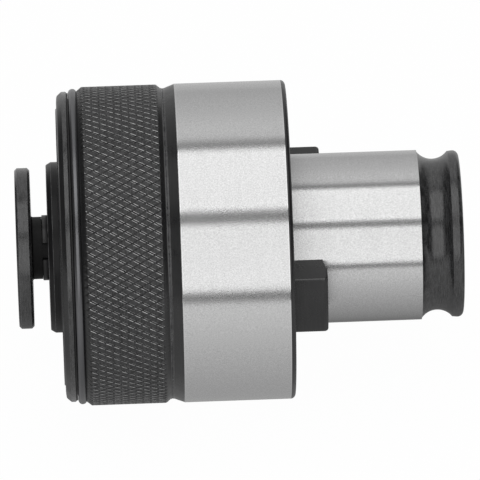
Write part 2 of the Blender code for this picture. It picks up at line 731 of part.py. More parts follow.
def spindle_outline():
    tap = TAP_BORE / 2
    coolant = COOLANT_BORE / 2
    square_front = NOSE_FRONT + TAP_BORE_DEPTH
    return [
        (coolant, TAIL_END),
        (TAIL_RADIUS - TAIL_CHAMFER, TAIL_END),
        (TAIL_RADIUS, TAIL_END - TAIL_CHAMFER),
        (TAIL_RADIUS, TAIL_RING_REAR + RING_GROOVE_FIT),
        (TAIL_GROOVE_RADIUS, TAIL_RING_REAR + RING_GROOVE_FIT),
        (TAIL_GROOVE_RADIUS, TAIL_RING_FRONT - RING_GROOVE_FIT),
        (TAIL_RADIUS, TAIL_RING_FRONT - RING_GROOVE_FIT),
        (TAIL_RADIUS, SEAT_REAR),
        (SEAT_RADIUS, SEAT_REAR),
        (SEAT_RADIUS, SEAT_FRONT),
        (JOURNAL_RADIUS, SEAT_FRONT),
        (JOURNAL_RADIUS, JOURNAL_FRONT),
        (POCKET_RADIUS, JOURNAL_FRONT),
        (POCKET_RADIUS, POCKET_FLOOR),
        (NOSE_RADIUS, POCKET_FLOOR),
        (NOSE_RADIUS, NOSE_RING_REAR + RING_GROOVE_FIT),
        (NOSE_GROOVE_RADIUS, NOSE_RING_REAR + RING_GROOVE_FIT),
        (NOSE_GROOVE_RADIUS, NOSE_RING_FRONT - RING_GROOVE_FIT),
        (NOSE_RADIUS, NOSE_RING_FRONT - RING_GROOVE_FIT),
        (NOSE_RADIUS, NOSE_FRONT),
        (tap, NOSE_FRONT),
        (tap, square_front),
        (coolant, square_front),
    ]


def make_spindle():
    body = turned("tap_spindle", spindle_outline(), hard_steel, spindle, SMALL_STEPS)
    square_front = NOSE_FRONT + TAP_BORE_DEPTH
    form = bmesh.new()
    middle = Matrix.Translation((0.0, 0.0, (SQUARE_REAR + square_front - CUT_PAST) / 2))
    length = SQUARE_REAR - square_front + CUT_PAST
    bmesh.ops.create_cube(form, size=1.0, matrix=middle @ Matrix.Diagonal((TAP_SQUARE, TAP_SQUARE, length, 1.0)))
    cut(body, mesh_object("square_cutter", form), spindle)
    cut(body, key_slots("spindle_key_cutter", PLATE_REAR, PLATE_FRONT), spindle)
    holes = radial_drills(
        "ball_hole_cutter", LOCKING_BALLS, LOCKING_BALL_RADIUS + BALL_HOLE_FIT, TAP_BORE / 2 - NOSE_WALL,
        NOSE_RADIUS + CUT_PAST, LOCKING_BALL_STATION,
    )
    cut(body, holes, spindle)
    ball_set("locking_ball", LOCKING_BALLS, LOCKING_BALL_RADIUS, LOCKING_BALL_TRACK, LOCKING_BALL_STATION, spindle)


def make_tail_ring():
    turned(
        "tail_ring", washer(TAIL_RING_RADIUS, TAIL_RING_BORE_RADIUS, TAIL_RING_REAR, TAIL_RING_FRONT), spring_steel,
        spindle, SMALL_STEPS,
    )


def make_nose_ring():
    turned(
        "nose_ring", washer(NOSE_RING_RADIUS, NOSE_RING_BORE_RADIUS, NOSE_RING_REAR, NOSE_RING_FRONT), spring_steel,
        spindle, SMALL_STEPS,
    )


# Release sleeve

def make_release_sleeve():
    disc = DISC_DIAMETER / 2
    ball_land = LOCKING_BALL_TRACK + LOCKING_BALL_RADIUS + BALL_LAND_FIT
    land_end = LOCKING_BALL_STATION + LOCKING_BALL_RADIUS + FIT
    groove = NECK_RADIUS - STOP_GROOVE_DEPTH
    groove_front = STOP_RING_FRONT - FIT
    groove_rear = STOP_RING_REAR + STOP_RING_GAP
    outline = [(SLEEVE_BORE_RADIUS, SLEEVE_END), (NECK_RADIUS, SLEEVE_END), (NECK_RADIUS, groove_rear)]
    outline += [(groove, groove_rear), (groove, groove_front), (NECK_RADIUS, groove_front)]
    outline += arc(NECK_RADIUS + NECK_FILLET, DISC_REAR + NECK_FILLET, NECK_FILLET, 180, 270)
    outline += arc(disc - DISC_ROUNDING, DISC_REAR - DISC_ROUNDING, DISC_ROUNDING, 90, 0)
    outline += arc(disc - DISC_ROUNDING, DISC_FRONT + DISC_ROUNDING, DISC_ROUNDING, 0, -90)
    outline += [
        (DISC_MOUTH_RADIUS, DISC_FRONT),
        (DISC_MOUTH_RADIUS, MOUTH_FLOOR),
        (ball_land, MOUTH_FLOOR),
        (ball_land, land_end),
        (SLEEVE_BORE_RADIUS, land_end),
    ]
    turned("release_sleeve", outline, black_oxide, sleeve, MIDDLE_STEPS)


def make_stop_ring():
    """An open ring; its split faces the near side, this far above the horizontal."""
    bore = STOP_RING_RADIUS - STOP_RING_HEIGHT
    ring = turned(
        "stop_ring", washer(STOP_RING_RADIUS, bore, STOP_RING_REAR, STOP_RING_FRONT), spring_steel, sleeve,
        SMALL_STEPS,
    )
    split = radial_blocks(
        "split_cutter", 1, NECK_RADIUS / 2, STOP_RING_RADIUS + CUT_PAST, STOP_RING_SPLIT, STOP_RING_REAR + CUT_PAST,
        STOP_RING_FRONT - CUT_PAST, first_deg=-90.0 - STOP_RING_SPLIT_DEG,
    )
    cut(ring, split, sleeve)


def make_release_spring():
    """A compression coil whose end turns lie close together."""
    curve = bpy.data.curves.new("release_spring", "CURVE")
    curve.dimensions = "3D"
    curve.bevel_depth = COIL_WIRE / 2
    curve.bevel_resolution = 2
    curve.use_fill_caps = True
    spline = curve.splines.new("POLY")
    count = COIL_TURNS * COIL_STEPS + 1
    spline.points.add(count - 1)
    track = (NOSE_RADIUS + POCKET_RADIUS) / 2
    open_turns = COIL_TURNS - 2
    rise = COIL_LENGTH - COIL_WIRE - 2 * COIL_CLOSED_PITCH
    for i, point in enumerate(spline.points):
        turn = i / COIL_STEPS
        angle = math.tau * turn
        middle = min(max(turn - 1.0, 0.0), open_turns)
        ends = turn - middle
        station = COIL_FRONT + COIL_WIRE / 2 + COIL_CLOSED_PITCH * ends + rise * middle / open_turns
        point.co = (track * math.cos(angle), track * math.sin(angle), station, 1.0)
    place(bpy.data.objects.new("release_spring", curve), spring_steel, sleeve)


# Build

clear_scene()
parts = add_collection("tapping_chuck")
cutters = add_collection("cutters")

ground_steel = metal("ground_steel", (0.62, 0.62, 0.61), 0.3)
black_oxide = metal("black_oxide", (0.045, 0.045, 0.047), 0.42, 0.6)
hard_steel = metal("hard_steel", (0.35, 0.35, 0.36), 0.38)
polished_steel = metal("polished_steel", (0.7, 0.7, 0.7), 0.12)
spring_steel = metal("spring_steel", (0.2, 0.2, 0.21), 0.35)
bronze = metal("bronze", (0.55, 0.38, 0.2), 0.4)
rubber = metal("rubber", (0.02, 0.02, 0.02), 0.6, 0.0)

# Each empty lies on the axis that its pieces slide along or turn about
drive = add_empty("drive_axis")
drive.location = (GAUGE_X, 0.0, 0.0)
drive.rotation_euler = (0.0, math.radians(90), 0.0)
pressure = add_empty("preload_travel", drive)
adjuster = add_empty("torque_adjust", pressure)
spindle = add_empty("clutch_slip", drive)
sleeve = add_empty("tap_release", spindle)

make_drive_body()
make_tail_bearing()
make_clutch()
make_thrust_bearing()
make_springs()
make_pressure_ring()
make_adjusting_ring()
make_lock_ring()
make_front_cap()
make_spindle()
make_tail_ring()
make_nose_ring()
make_release_sleeve()
make_stop_ring()
make_release_spring()
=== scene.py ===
import json
import math

import bmesh
import bpy
from mathutils import Matrix, Vector

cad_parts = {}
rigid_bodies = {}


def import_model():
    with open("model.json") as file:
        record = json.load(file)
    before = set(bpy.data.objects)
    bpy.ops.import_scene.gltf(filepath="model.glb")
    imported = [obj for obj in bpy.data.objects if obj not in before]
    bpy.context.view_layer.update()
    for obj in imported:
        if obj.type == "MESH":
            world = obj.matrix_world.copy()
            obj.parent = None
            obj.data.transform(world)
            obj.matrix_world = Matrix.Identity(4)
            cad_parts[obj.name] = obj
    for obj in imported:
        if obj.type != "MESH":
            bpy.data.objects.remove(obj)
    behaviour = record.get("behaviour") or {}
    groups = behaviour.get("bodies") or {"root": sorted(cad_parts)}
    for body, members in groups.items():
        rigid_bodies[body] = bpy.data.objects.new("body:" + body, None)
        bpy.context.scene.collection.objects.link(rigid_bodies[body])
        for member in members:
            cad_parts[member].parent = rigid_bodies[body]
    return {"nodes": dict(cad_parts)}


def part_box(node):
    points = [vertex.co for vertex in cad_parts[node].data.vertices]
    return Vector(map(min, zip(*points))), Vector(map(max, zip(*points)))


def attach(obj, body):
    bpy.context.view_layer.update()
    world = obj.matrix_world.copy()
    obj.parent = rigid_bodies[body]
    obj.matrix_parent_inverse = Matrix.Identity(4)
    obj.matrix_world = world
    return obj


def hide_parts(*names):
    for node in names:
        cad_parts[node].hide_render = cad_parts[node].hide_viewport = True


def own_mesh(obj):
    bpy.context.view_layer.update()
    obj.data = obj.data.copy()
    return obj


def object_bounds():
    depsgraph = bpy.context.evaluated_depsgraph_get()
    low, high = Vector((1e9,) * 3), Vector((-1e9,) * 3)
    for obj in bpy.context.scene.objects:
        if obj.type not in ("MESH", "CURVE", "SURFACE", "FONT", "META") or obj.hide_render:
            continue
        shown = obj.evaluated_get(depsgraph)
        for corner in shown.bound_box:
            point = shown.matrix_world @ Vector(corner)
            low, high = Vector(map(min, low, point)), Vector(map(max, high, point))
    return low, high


# Looks of a tapping chuck: every visible piece is turned again here at full fineness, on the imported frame.
# Lengths in the dictionaries are millimetres. A station is measured along the tool axis from the rear face
# of the clutch body, positive towards the shank end, and a radius is measured from the axis.

mm = 0.001

for leftOver in list(bpy.data.objects):
    bpy.data.objects.remove(leftOver)

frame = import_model()
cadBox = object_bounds()
print("frame loaded with", len(frame["nodes"]), "CAD nodes")

shankLength = 30.0
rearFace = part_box("drive_body")[1].x / mm - shankLength


def extent(node):
    # front station, rear station and outer radius of a CAD node
    low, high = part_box(node)
    return low.x / mm - rearFace, high.x / mm - rearFace, max(high.y, high.z) / mm


# Node tools


def addNode(tree, kind, **settings):
    node = tree.nodes.new(kind)
    for key, value in settings.items():
        setattr(node, key, value)
    return node


def feed(tree, node, values):
    # a colour or a number is set on the node's own socket, and another node's output is linked to it
    for name, value in values.items():
        socket = node.inputs[name]
        if isinstance(value, tuple):
            socket.default_value = (*value, 1.0)
        elif isinstance(value, (int, float)):
            socket.default_value = value
        else:
            tree.links.new(value, socket)


def calculate(tree, operation, *terms, clamp=False):
    node = addNode(tree, "ShaderNodeMath", operation=operation, use_clamp=clamp)
    feed(tree, node, dict(enumerate(terms)))
    return node.outputs[0]


def mixColour(tree, factor, first, second):
    node = addNode(tree, "ShaderNodeMix", data_type="RGBA")
    colours = [i for i, socket in enumerate(node.inputs) if socket.type == "RGBA"]
    feed(tree, node, {"Factor": factor, colours[0]: first, colours[1]: second})
    return next(socket for socket in node.outputs if socket.type == "RGBA")


def spanOf(tree, value, source, target=(0.0, 1.0)):
    # carries one range over to another and stops at its ends
    node = addNode(tree, "ShaderNodeMapRange", clamp=True)
    feed(tree, node, {"Value": value, "From Min": source[0], "From Max": source[1]})
    feed(tree, node, {"To Min": target[0], "To Max": target[1]})
    return node.outputs["Result"]


def addNoise(tree, place, scale, detail, roughness=0.5):
    node = addNode(tree, "ShaderNodeTexNoise")
    feed(tree, node, {"Vector": place, "Scale": scale, "Detail": detail, "Roughness": roughness})
    return node.outputs["Fac"]


def placeFrom(tree, kind="Object"):
    return addNode(tree, "ShaderNodeTexCoord").outputs[kind]


def splitPlace(tree, place):
    parts = addNode(tree, "ShaderNodeSeparateXYZ")
    feed(tree, parts, {0: place})
    return parts.outputs["X"], parts.outputs["Y"], parts.outputs["Z"]


def newGroup(name, inputs, outputs):
    tree = bpy.data.node_groups.new(name, "ShaderNodeTree")
    for label, value in inputs.items():
        socket = tree.interface.new_socket(name=label, in_out="INPUT", socket_type="NodeSocketFloat")
        socket.default_value = value
    for label in outputs:
        tree.interface.new_socket(name=label, in_out="OUTPUT", socket_type="NodeSocketFloat")
    return tree, addNode(tree, "NodeGroupInput"), addNode(tree, "NodeGroupOutput")


def useGroup(tree, group, **values):
    node = addNode(tree, "ShaderNodeGroup", node_tree=group)
    feed(tree, node, values)
    return node.outputs


# Effects that several finishes share

lineEffect = {
    "pitch": 0.12,
    "run": 20.0,
    "fineScale": 1.0,
    "fineDetail": 2.0,
    "wideScale": 0.23,
    "wideDetail": 3.0,
}
grainEffect = {"size": 0.15, "fineDetail": 3.0, "fineRoughness": 0.7, "broadTimes": 30.0, "broadDetail": 4.0}
rubbingEffect = {"patch": 0.8, "detail": 5.0, "noiseSpan": (0.3, 0.6), "wearSpan": (0.15, 1.0)}


def makeTurningLines():
    # tool marks round the axis: they change with station plus radius, so flat faces get rings and sides lines
    values = lineEffect
    inputs = {"Pitch": values["pitch"], "Run": values["run"]}
    tree, given, result = newGroup("turningLines", inputs, ("Height", "Streak"))
    placeX, placeY, placeZ = splitPlace(tree, placeFrom(tree))
    squares = [calculate(tree, "POWER", side, 2.0) for side in (placeY, placeZ)]
    radius = calculate(tree, "SQRT", calculate(tree, "ADD", *squares))
    along = calculate(tree, "MULTIPLY", calculate(tree, "ADD", placeX, radius), 1.0 / mm)
    runScale = calculate(tree, "DIVIDE", 1.0 / mm, given.outputs["Run"])
    joined = addNode(tree, "ShaderNodeCombineXYZ")
    feed(tree, joined, {
        "X": calculate(tree, "DIVIDE", along, given.outputs["Pitch"]),
        "Y": calculate(tree, "MULTIPLY", placeY, runScale),
        "Z": calculate(tree, "MULTIPLY", placeZ, runScale),
    })
    fine = addNoise(tree, joined.outputs[0], values["fineScale"], values["fineDetail"])
    wide = addNoise(tree, joined.outputs[0], values["wideScale"], values["wideDetail"])
    feed(tree, result, {"Height": fine, "Streak": wide})
    return tree


def makeGrain():
    # fine mottle of a blackened or blasted surface
    values = grainEffect
    tree, given, result = newGroup("grain", {"Size": values["size"]}, ("Height", "Mottle"))
    place = placeFrom(tree)
    scale = calculate(tree, "DIVIDE", 1.0 / mm, given.outputs["Size"])
    broadScale = calculate(tree, "DIVIDE", scale, values["broadTimes"])
    fine = addNoise(tree, place, scale, values["fineDetail"], values["fineRoughness"])
    broad = addNoise(tree, place, broadScale, values["broadDetail"])
    feed(tree, result, {"Height": fine, "Mottle": broad})
    return tree


def makeRubbing():
    # patches where the black is rubbed through to the steel
    values = rubbingEffect
    tree, given, result = newGroup("rubbing", {"Patch": values["patch"]}, ("Wear",))
    scale = calculate(tree, "DIVIDE", 1.0 / mm, given.outputs["Patch"])
    noise = addNoise(tree, placeFrom(tree), scale, values["detail"])
    feed(tree, result, {"Wear": spanOf(tree, noise, values["noiseSpan"], values["wearSpan"])})
    return tree


turningLines = makeTurningLines()
grain = makeGrain()
rubbing = makeRubbing()
print("shared effects ready")


# Finishes


def newFinish(name, look, metallic):
    material = bpy.data.materials.new(name)
    material.use_nodes = True
    material.diffuse_color = (*look["colour"], 1.0)
    tree = material.node_tree
    shader = tree.nodes["Principled BSDF"]
    feed(tree, shader, {
        "Base Color": look["colour"],
        "Roughness": look["roughness"][0],
        "Metallic": metallic,
    })
    return material, tree, shader


def addBump(tree, shader, height, depth, normal=None):
    bump = addNode(tree, "ShaderNodeBump")
    feed(tree, bump, {"Strength": 1.0, "Distance": depth * mm, "Height": height})
    if normal is not None:
        feed(tree, bump, {"Normal": normal})
    feed(tree, shader, {"Normal": bump.outputs["Normal"]})
    return bump.outputs["Normal"]


groundLook = {
    "colour": (0.605, 0.605, 0.605),
    "speckleColour": (0.495, 0.495, 0.495),
    "speckleSpan": (0.38, 0.62),
    "roughness": (0.24, 0.265),
    "streakSpan": (0.3, 0.7),
    "brushed": 0.97,
    "brushTurn": 0.25,
    "linePitch": 0.15,
    "lineRun": 1.6,
    "lineDepth": 0.00012,
    "grainSize": 0.22,
    "grainDepth": 0.006,
}


def makeGroundSteel():
    look = groundLook
    material, tree, shader = newFinish("groundSteel", look, 1.0)
    marks = useGroup(tree, turningLines, Pitch=look["linePitch"], Run=look["lineRun"])
    mottle = useGroup(tree, grain, Size=look["grainSize"])
    speckle = spanOf(tree, mottle["Height"], look["speckleSpan"])
    # the grinding marks run round the axis, so highlights stretch along it
    tangent = addNode(tree, "ShaderNodeTangent", direction_type="RADIAL", axis="X")
    feed(tree, shader, {
        "Base Color": mixColour(tree, speckle, look["colour"], look["speckleColour"]),
        "Roughness": spanOf(tree, marks["Streak"], look["streakSpan"], look["roughness"]),
        "Anisotropic": look["brushed"],
        "Anisotropic Rotation": look["brushTurn"],
        "Tangent": tangent.outputs[0],
    })
    lines = addBump(tree, shader, marks["Height"], look["lineDepth"])
    addBump(tree, shader, mottle["Height"], look["grainDepth"], lines)
    return material


oxideLook = {
    "colour": (0.004, 0.004, 0.0044),
    "paleColour": (0.012, 0.012, 0.0125),
    "wornColour": (0.30, 0.30, 0.305),
    "speckleSpan": (0.8, 1.2),
    "roughness": (0.25, 0.36),
    "mottleSpan": (0.35, 0.65),
    "sheenLevel": 0.52,
    "linePitch": 0.16,
    "lineRun": 6.0,
    "lineDepth": 0.0012,
    "grainSize": 0.14,
    "grainDepth": 0.0015,
    "wearAmount": 0.0,
    "patchSize": 0.9,
}
knurlLook = {
    "roughness": (0.32, 0.42),
    "sheenLevel": 0.42,
    "paleColour": (0.034, 0.034, 0.035),
    "lineDepth": 0.0003,
    "grainSize": 0.26,
    "grainDepth": 0.045,
}
# painted shade: a darker copy of the knurl's finish, for groove walls that are to look shaded
grooveShadeLook = {**knurlLook, "sheenLevel": 0.12}
crestLook = {"wearAmount": 0.8, "wornColour": (0.46, 0.46, 0.46), "patchSize": 0.5, "lineDepth": 0.0003}
rubbedLook = {"wearAmount": 0.5}
# a black with a lower sheen than blackOxide: the boss and the cap's face round it render darker in the middle
lowSheenLook = {"sheenLevel": 0.2, "roughness": (0.26, 0.36), "lineDepth": 0.002}
glossLook = {
    "sheenLevel": 0.66,
    "paleColour": (0.04, 0.04, 0.041),
    "roughness": (0.15, 0.23),
    "linePitch": 0.22,
    "lineRun": 1.6,
    "lineDepth": 0.006,
    "grainSize": 0.2,
    "grainDepth": 0.015,
}
# rough matt oxide, darkened further as painted shade for the recesses it goes on: the sleeve's neck, groove,
# mouth and bore, and the land deep behind the cap's rim
recessShadeLook = {
    "colour": (0.003, 0.003, 0.003),
    "paleColour": (0.006, 0.006, 0.006),
    "roughness": (0.45, 0.55),
    "sheenLevel": 0.3,
    "lineDepth": 0.004,
}


def makeOxide(name, changes):
    look = {**oxideLook, **changes}
    material, tree, shader = newFinish(name, look, 0.0)
    marks = useGroup(tree, turningLines, Pitch=look["linePitch"], Run=look["lineRun"])
    mottle = useGroup(tree, grain, Size=look["grainSize"])
    both = calculate(tree, "ADD", marks["Height"], mottle["Height"])
    speckle = spanOf(tree, both, look["speckleSpan"])
    colour = mixColour(tree, speckle, look["colour"], look["paleColour"])
    if look["wearAmount"] > 0.0:
        patches = useGroup(tree, rubbing, Patch=look["patchSize"])
        worn = calculate(tree, "MULTIPLY", patches["Wear"], look["wearAmount"])
        colour = mixColour(tree, worn, colour, look["wornColour"])
        feed(tree, shader, {"Metallic": worn})
    feed(tree, shader, {
        "Base Color": colour,
        "Roughness": spanOf(tree, mottle["Mottle"], look["mottleSpan"], look["roughness"]),
        "Specular IOR Level": look["sheenLevel"],
    })
    lines = addBump(tree, shader, marks["Height"], look["lineDepth"])
    addBump(tree, shader, mottle["Height"], look["grainDepth"], lines)
    return material


plainLook = {"streakSpan": (0.35, 0.65), "mottleSpan": (0.35, 0.65), "lineRun": 12.0, "grainSize": 0.2}
hardLook = {
    "colour": (0.20, 0.20, 0.205),
    "streakColour": (0.15, 0.15, 0.155),
    "roughness": (0.28, 0.38),
    "linePitch": 0.14,
    "lineDepth": 0.0008,
}
polishedLook = {
    "colour": (0.62, 0.62, 0.62),
    "streakColour": (0.56, 0.56, 0.56),
    "roughness": (0.08, 0.16),
    "linePitch": 0.3,
    "lineDepth": 0.0001,
}
springLook = {
    "colour": (0.15, 0.15, 0.155),
    "streakColour": (0.10, 0.10, 0.105),
    "roughness": (0.26, 0.36),
    "linePitch": 0.3,
    "lineDepth": 0.0004,
}
bronzeLook = {
    "colour": (0.50, 0.33, 0.16),
    "streakColour": (0.42, 0.26, 0.12),
    "roughness": (0.3, 0.42),
    "linePitch": 0.15,
    "lineDepth": 0.0009,
}


def makePlainMetal(name, changes):
    look = {**plainLook, **changes}
    material, tree, shader = newFinish(name, look, 1.0)
    marks = useGroup(tree, turningLines, Pitch=look["linePitch"], Run=look["lineRun"])
    mottle = useGroup(tree, grain, Size=look["grainSize"])
    streak = spanOf(tree, marks["Streak"], look["streakSpan"])
    feed(tree, shader, {
        "Base Color": mixColour(tree, streak, look["colour"], look["streakColour"]),
        "Roughness": spanOf(tree, mottle["Mottle"], look["mottleSpan"], look["roughness"]),
    })
    addBump(tree, shader, marks["Height"], look["lineDepth"])
    return material


rubberLook = {
    "colour": (0.012, 0.012, 0.013),
    "paleColour": (0.024, 0.024, 0.025),
    "mottleSpan": (0.35, 0.65),
    "roughness": (0.48, 0.62),
    "grainSpan": (0.3, 0.7),
    "grainSize": 0.08,
    "grainDepth": 0.002,
}


def makeRubber():
    look = rubberLook
    material, tree, shader = newFinish("sealRubber", look, 0.0)
    mottle = useGroup(tree, grain, Size=look["grainSize"])
    shade = spanOf(tree, mottle["Mottle"], look["mottleSpan"])
    feed(tree, shader, {
        "Base Color": mixColour(tree, shade, look["colour"], look["paleColour"]),
        "Roughness": spanOf(tree, mottle["Height"], look["grainSpan"], look["roughness"]),
    })
    addBump(tree, shader, mottle["Height"], look["grainDepth"])
    return material


groundSteel = makeGroundSteel()
blackOxide = makeOxide("blackOxide", {})
knurlOxide = makeOxide("knurlOxide", knurlLook)
grooveShadeOxide = makeOxide("grooveShadeOxide", grooveShadeLook)
crestOxide = makeOxide("crestOxide", crestLook)
recessShadeOxide = makeOxide("recessShadeOxide", recessShadeLook)
rubbedOxide = makeOxide("rubbedOxide", rubbedLook)
glossOxide = makeOxide("glossOxide", glossLook)
lowSheenOxide = makeOxide("lowSheenOxide", lowSheenLook)
hardSteel = makePlainMetal("hardSteel", hardLook)
polishedSteel = makePlainMetal("polishedSteel", polishedLook)
springSteel = makePlainMetal("springSteel", springLook)
bronze = makePlainMetal("bronze", bronzeLook)
sealRubber = makeRubber()
print("finishes ready")


# Shape tools

fineEdge = 0.1  # roundings that many pieces share
innerEdge = 0.15
softEdge = 0.2
wideEdge = 0.3
closeBy = 0.01  # stations and radii this close count as the same
snapReach = 1e-7  # in metres: a cut through a mesh keeps the points that lie this close to it


def arcPoints(centreStation, centreRadius, size, startDeg, endDeg, steps=8):
    # 0 degrees points outwards and 90 towards the shank end
    points = []
    for i in range(steps + 1):
        angle = math.radians(startDeg + (endDeg - startDeg) * i / steps)
        points.append((centreStation + size * math.sin(angle), centreRadius + size * math.cos(angle)))
    return points


def roundCorners(corners, steps=6):
    # corners are (station, radius) or (station, radius, rounding); each rounding becomes an arc
    outline = []
    count = len(corners)
    for i, corner in enumerate(corners):
        here = Vector(corner[:2])
        rounding = corner[2] if len(corner) > 2 else 0.0
        if rounding <= 0.0:
            outline.append(tuple(here))
            continue
        before = (Vector(corners[i - 1][:2]) - here).normalized()
        after = (Vector(corners[(i + 1) % count][:2]) - here).normalized()
        halfAngle = before.angle(after) / 2
        centre = here + (before + after).normalized() * rounding / math.sin(halfAngle)
        start = here + before * rounding / math.tan(halfAngle) - centre
        end = here + after * rounding / math.tan(halfAngle) - centre
        sweep = start.angle_signed(end)
        for k in range(steps + 1):
            outline.append(tuple(centre + Matrix.Rotation(-sweep * k / steps, 2) @ start))
    return outline


def axisPoint(station, radius, angle):
    # angle 0 points up, a quarter turn points to the near side
    return ((rearFace + station) * mm, -radius * mm * math.sin(angle), radius * mm * math.cos(angle))


def placeOf(point):
    # station and radius of a point of the scene
    return point.x / mm - rearFace, math.hypot(point.y, point.z) / mm


def reshape(vert, station, radius):
    # keeps the place around the axis
    vert.co = axisPoint(station, radius, math.atan2(-vert.co.y, vert.co.z))


def addObject(name, data):
    obj = bpy.data.objects.new(name, data)
    bpy.context.scene.collection.objects.link(obj)
    return obj


def formObject(name, form, mesh=None):
    mesh = mesh or bpy.data.meshes.new(name)
    form.to_mesh(mesh)
    form.free()
    return addObject(name, mesh)


def meshObject(name, vertices, faces):
    mesh = bpy.data.meshes.new(name)
    mesh.from_pydata(vertices, [], faces)
    form = bmesh.new()
    form.from_mesh(mesh)
    bmesh.ops.recalc_face_normals(form, faces=form.faces)
    return formObject(name, form, mesh)


def joinRings(name, vertices, count, rings, closed=False):
    # rings of count points, one after the other, become a closed loop or a run with end faces
    faces = []
    for k in range(rings if closed else rings - 1):
        here = k * count
        there = (k + 1) % rings * count
        for i in range(count):
            j = (i + 1) % count
            faces.append((here + i, here + j, there + j, there + i))
    if not closed:
        faces += [tuple(range(count)), tuple(range((rings - 1) * count, rings * count))]
    return meshObject(name, vertices, faces)


def turn(name, outline, steps, startDeg=0.0, sweepDeg=360.0):
    # a closed outline turned about the tool axis
    closed = sweepDeg >= 360.0
    rings = steps if closed else steps + 1
    vertices = []
    for k in range(rings):
        angle = math.radians(startDeg + sweepDeg * k / steps)
        vertices += [axisPoint(station, radius, angle) for station, radius in outline]
    return joinRings(name, vertices, len(outline), rings, closed)


def smooth(obj, sharpDeg=32.0):
    obj.data.shade_smooth()
    obj.data.set_sharp_from_angle(angle=math.radians(sharpDeg))
    even = obj.modifiers.new("evenShade", "WEIGHTED_NORMAL")
    even.keep_sharp = True
    return obj


def finalMesh(obj):
    # the mesh with its modifiers, or the filled mesh of a curve
    bpy.context.view_layer.update()
    graph = bpy.context.evaluated_depsgraph_get()
    return bpy.data.meshes.new_from_object(obj.evaluated_get(graph))


def cutWith(obj, tools, operation="DIFFERENCE"):
    # one boolean for each tool, and then the tools go
    for tool in tools:
        change = obj.modifiers.new("cut", "BOOLEAN")
        change.operation = operation
        change.solver = "EXACT"
        change.object = tool
    made = finalMesh(obj)
    obj.modifiers.clear()
    obj.data = made
    for tool in tools:
        bpy.data.objects.remove(tool)
    return obj


def finishPiece(obj, body, materials, nodes):
    if obj.data.materials:
        obj.data.materials.clear()
    for material in materials:
        obj.data.materials.append(material)
    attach(obj, body)
    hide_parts(*nodes)
    return obj


def rubEdges(obj, slotIndex, widest):
    # the narrow faces of small roundings get the rubbed finish
    points = obj.data.vertices
    for face in obj.data.polygons:
        corners = [points[i].co for i in face.vertices]
        sides = [(corners[i - 1] - corners[i]).length / mm for i in range(len(corners))]
        if len(corners) == 4 and min(sides) < widest:
            face.material_index = slotIndex


def spunPlace(place, turnDeg):
    # a place beside the axis, carried round it
    spin = Matrix.Rotation(math.radians(turnDeg), 4, "X")
    return spin @ Matrix.Translation(((rearFace + place[0]) * mm, place[1] * mm, place[2] * mm))


def block(name, size, place, turnDeg=0.0):
    # size and place are along the axis, across and outwards
    form = bmesh.new()
    shape = Matrix.Diagonal((*[side * mm for side in size], 1.0))
    bmesh.ops.create_cube(form, size=1.0, matrix=spunPlace(place, turnDeg) @ shape)
    return formObject(name, form)


def drill(name, radius, length, place, turnDeg=0.0, steps=32):
    # a round bar that points outwards from the axis
    form = bmesh.new()
    bmesh.ops.create_cone(
        form, cap_ends=True, segments=steps, radius1=radius * mm, radius2=radius * mm, depth=length * mm,
        matrix=spunPlace(place, turnDeg),
    )
    return formObject(name, form)


# Drive body: shank, ball groove, lugs, ground clutch body, cone and threaded cup

driveBody = {
    "shankRadius": 15.0,
    "grooveSetback": 4.6,
    "grooveArc": 3.4,
    "grooveDepth": 1.65,
    "grooveLead": 2.8,
    "grooveStep": 0.02,
    "grooveSteps": 28,
    "crestRadius": 14.82,
    "crestRounding": 1.0,
    "recessRadius": 11.0,
    "recessChamfer": 0.5,
    "recessEdge": 0.08,
    "webFace": 8.0,
    "boreRadius": 8.3,
    "bushSeatRadius": 10.0,
    "bushSeatRear": 6.3,
    "rearRounding": 0.8,
    "rearSetback": 0.17,
    "rootLength": 0.12,
    "rootDrop": 0.08,
    "groundEdge": 0.1,
    "groundDrop": 0.06,
    "brightEdge": 0.13,
    "bodyLength": 21.83,
    "coneLength": 2.04,
    "coneDrop": 0.72,
    "coneLand": 0.3,
    "shoulderEdge": 0.12,
    "cupRadius": 21.0,
    "cupFloor": -7.25,
    "threadRadius": 24.6,
    "threadPitch": 1.5,
    "threadDepth": 0.8,
    "threadSlope": 2.6,
    "threadCrest": 0.25,
    "threadRelief": 1.2,
    "threadRunOut": 0.5,
    "threadChamfer": 0.8,
    "threadStep": 0.1875,
    "lugRadius": 20.0,
    "lugHeight": 5.8,
    "lugWidth": 11.9,
    "lugTurns": (90.0, -90.0),
    "lugSink": 2.0,
    "lugRoot": 1.5,
    "lugCorner": 0.7,
    "lugCornerLead": 0.3,
    "lugCornerSteps": 8,
    "lugEdge": 0.22,
    "lugEdgeSink": 0.4,
    "lugEdgeCurve": ((0.0, 1.0), (0.3, 0.1)),  # inset and drop, as shares of the edge
    "lugCrownSteps": 20,
    "lugRelief": (0.7, 2.0),  # depth into the end and height above the shank
    "lugReliefMargin": (1.0, 0.5),  # past the end and under the shank
    "lugReliefSteps": 18,
    "steps": 320,
    # how far each finish reaches from its face, its corner or its edge
    "groundReach": 0.08,
    "brightReach": 0.05,
    "glossLead": 2.85,
    "glossAbove": 1.0,
    "lugGlossFrom": 0.2,
    "lugGlossAbove": 2.5,
    "lugGlossTilt": 0.35,
    "rubWidth": 0.085,  # the widest face that counts as a rubbed edge
}


def grooveRun(values):
    # the arc of the ball groove, from the end flange to the shank
    bottom = values["shankRadius"] - values["grooveDepth"]
    size = values["grooveArc"]
    centreRadius = bottom + size
    centreStation = shankLength - values["grooveSetback"]
    riseRear = math.degrees(math.asin((centreRadius - values["crestRadius"]) / size))
    riseFront = math.degrees(math.asin((centreRadius - values["shankRadius"]) / size))
    return arcPoints(centreStation, centreRadius, size, 90 + riseRear, 270 - riseFront, values["grooveSteps"])


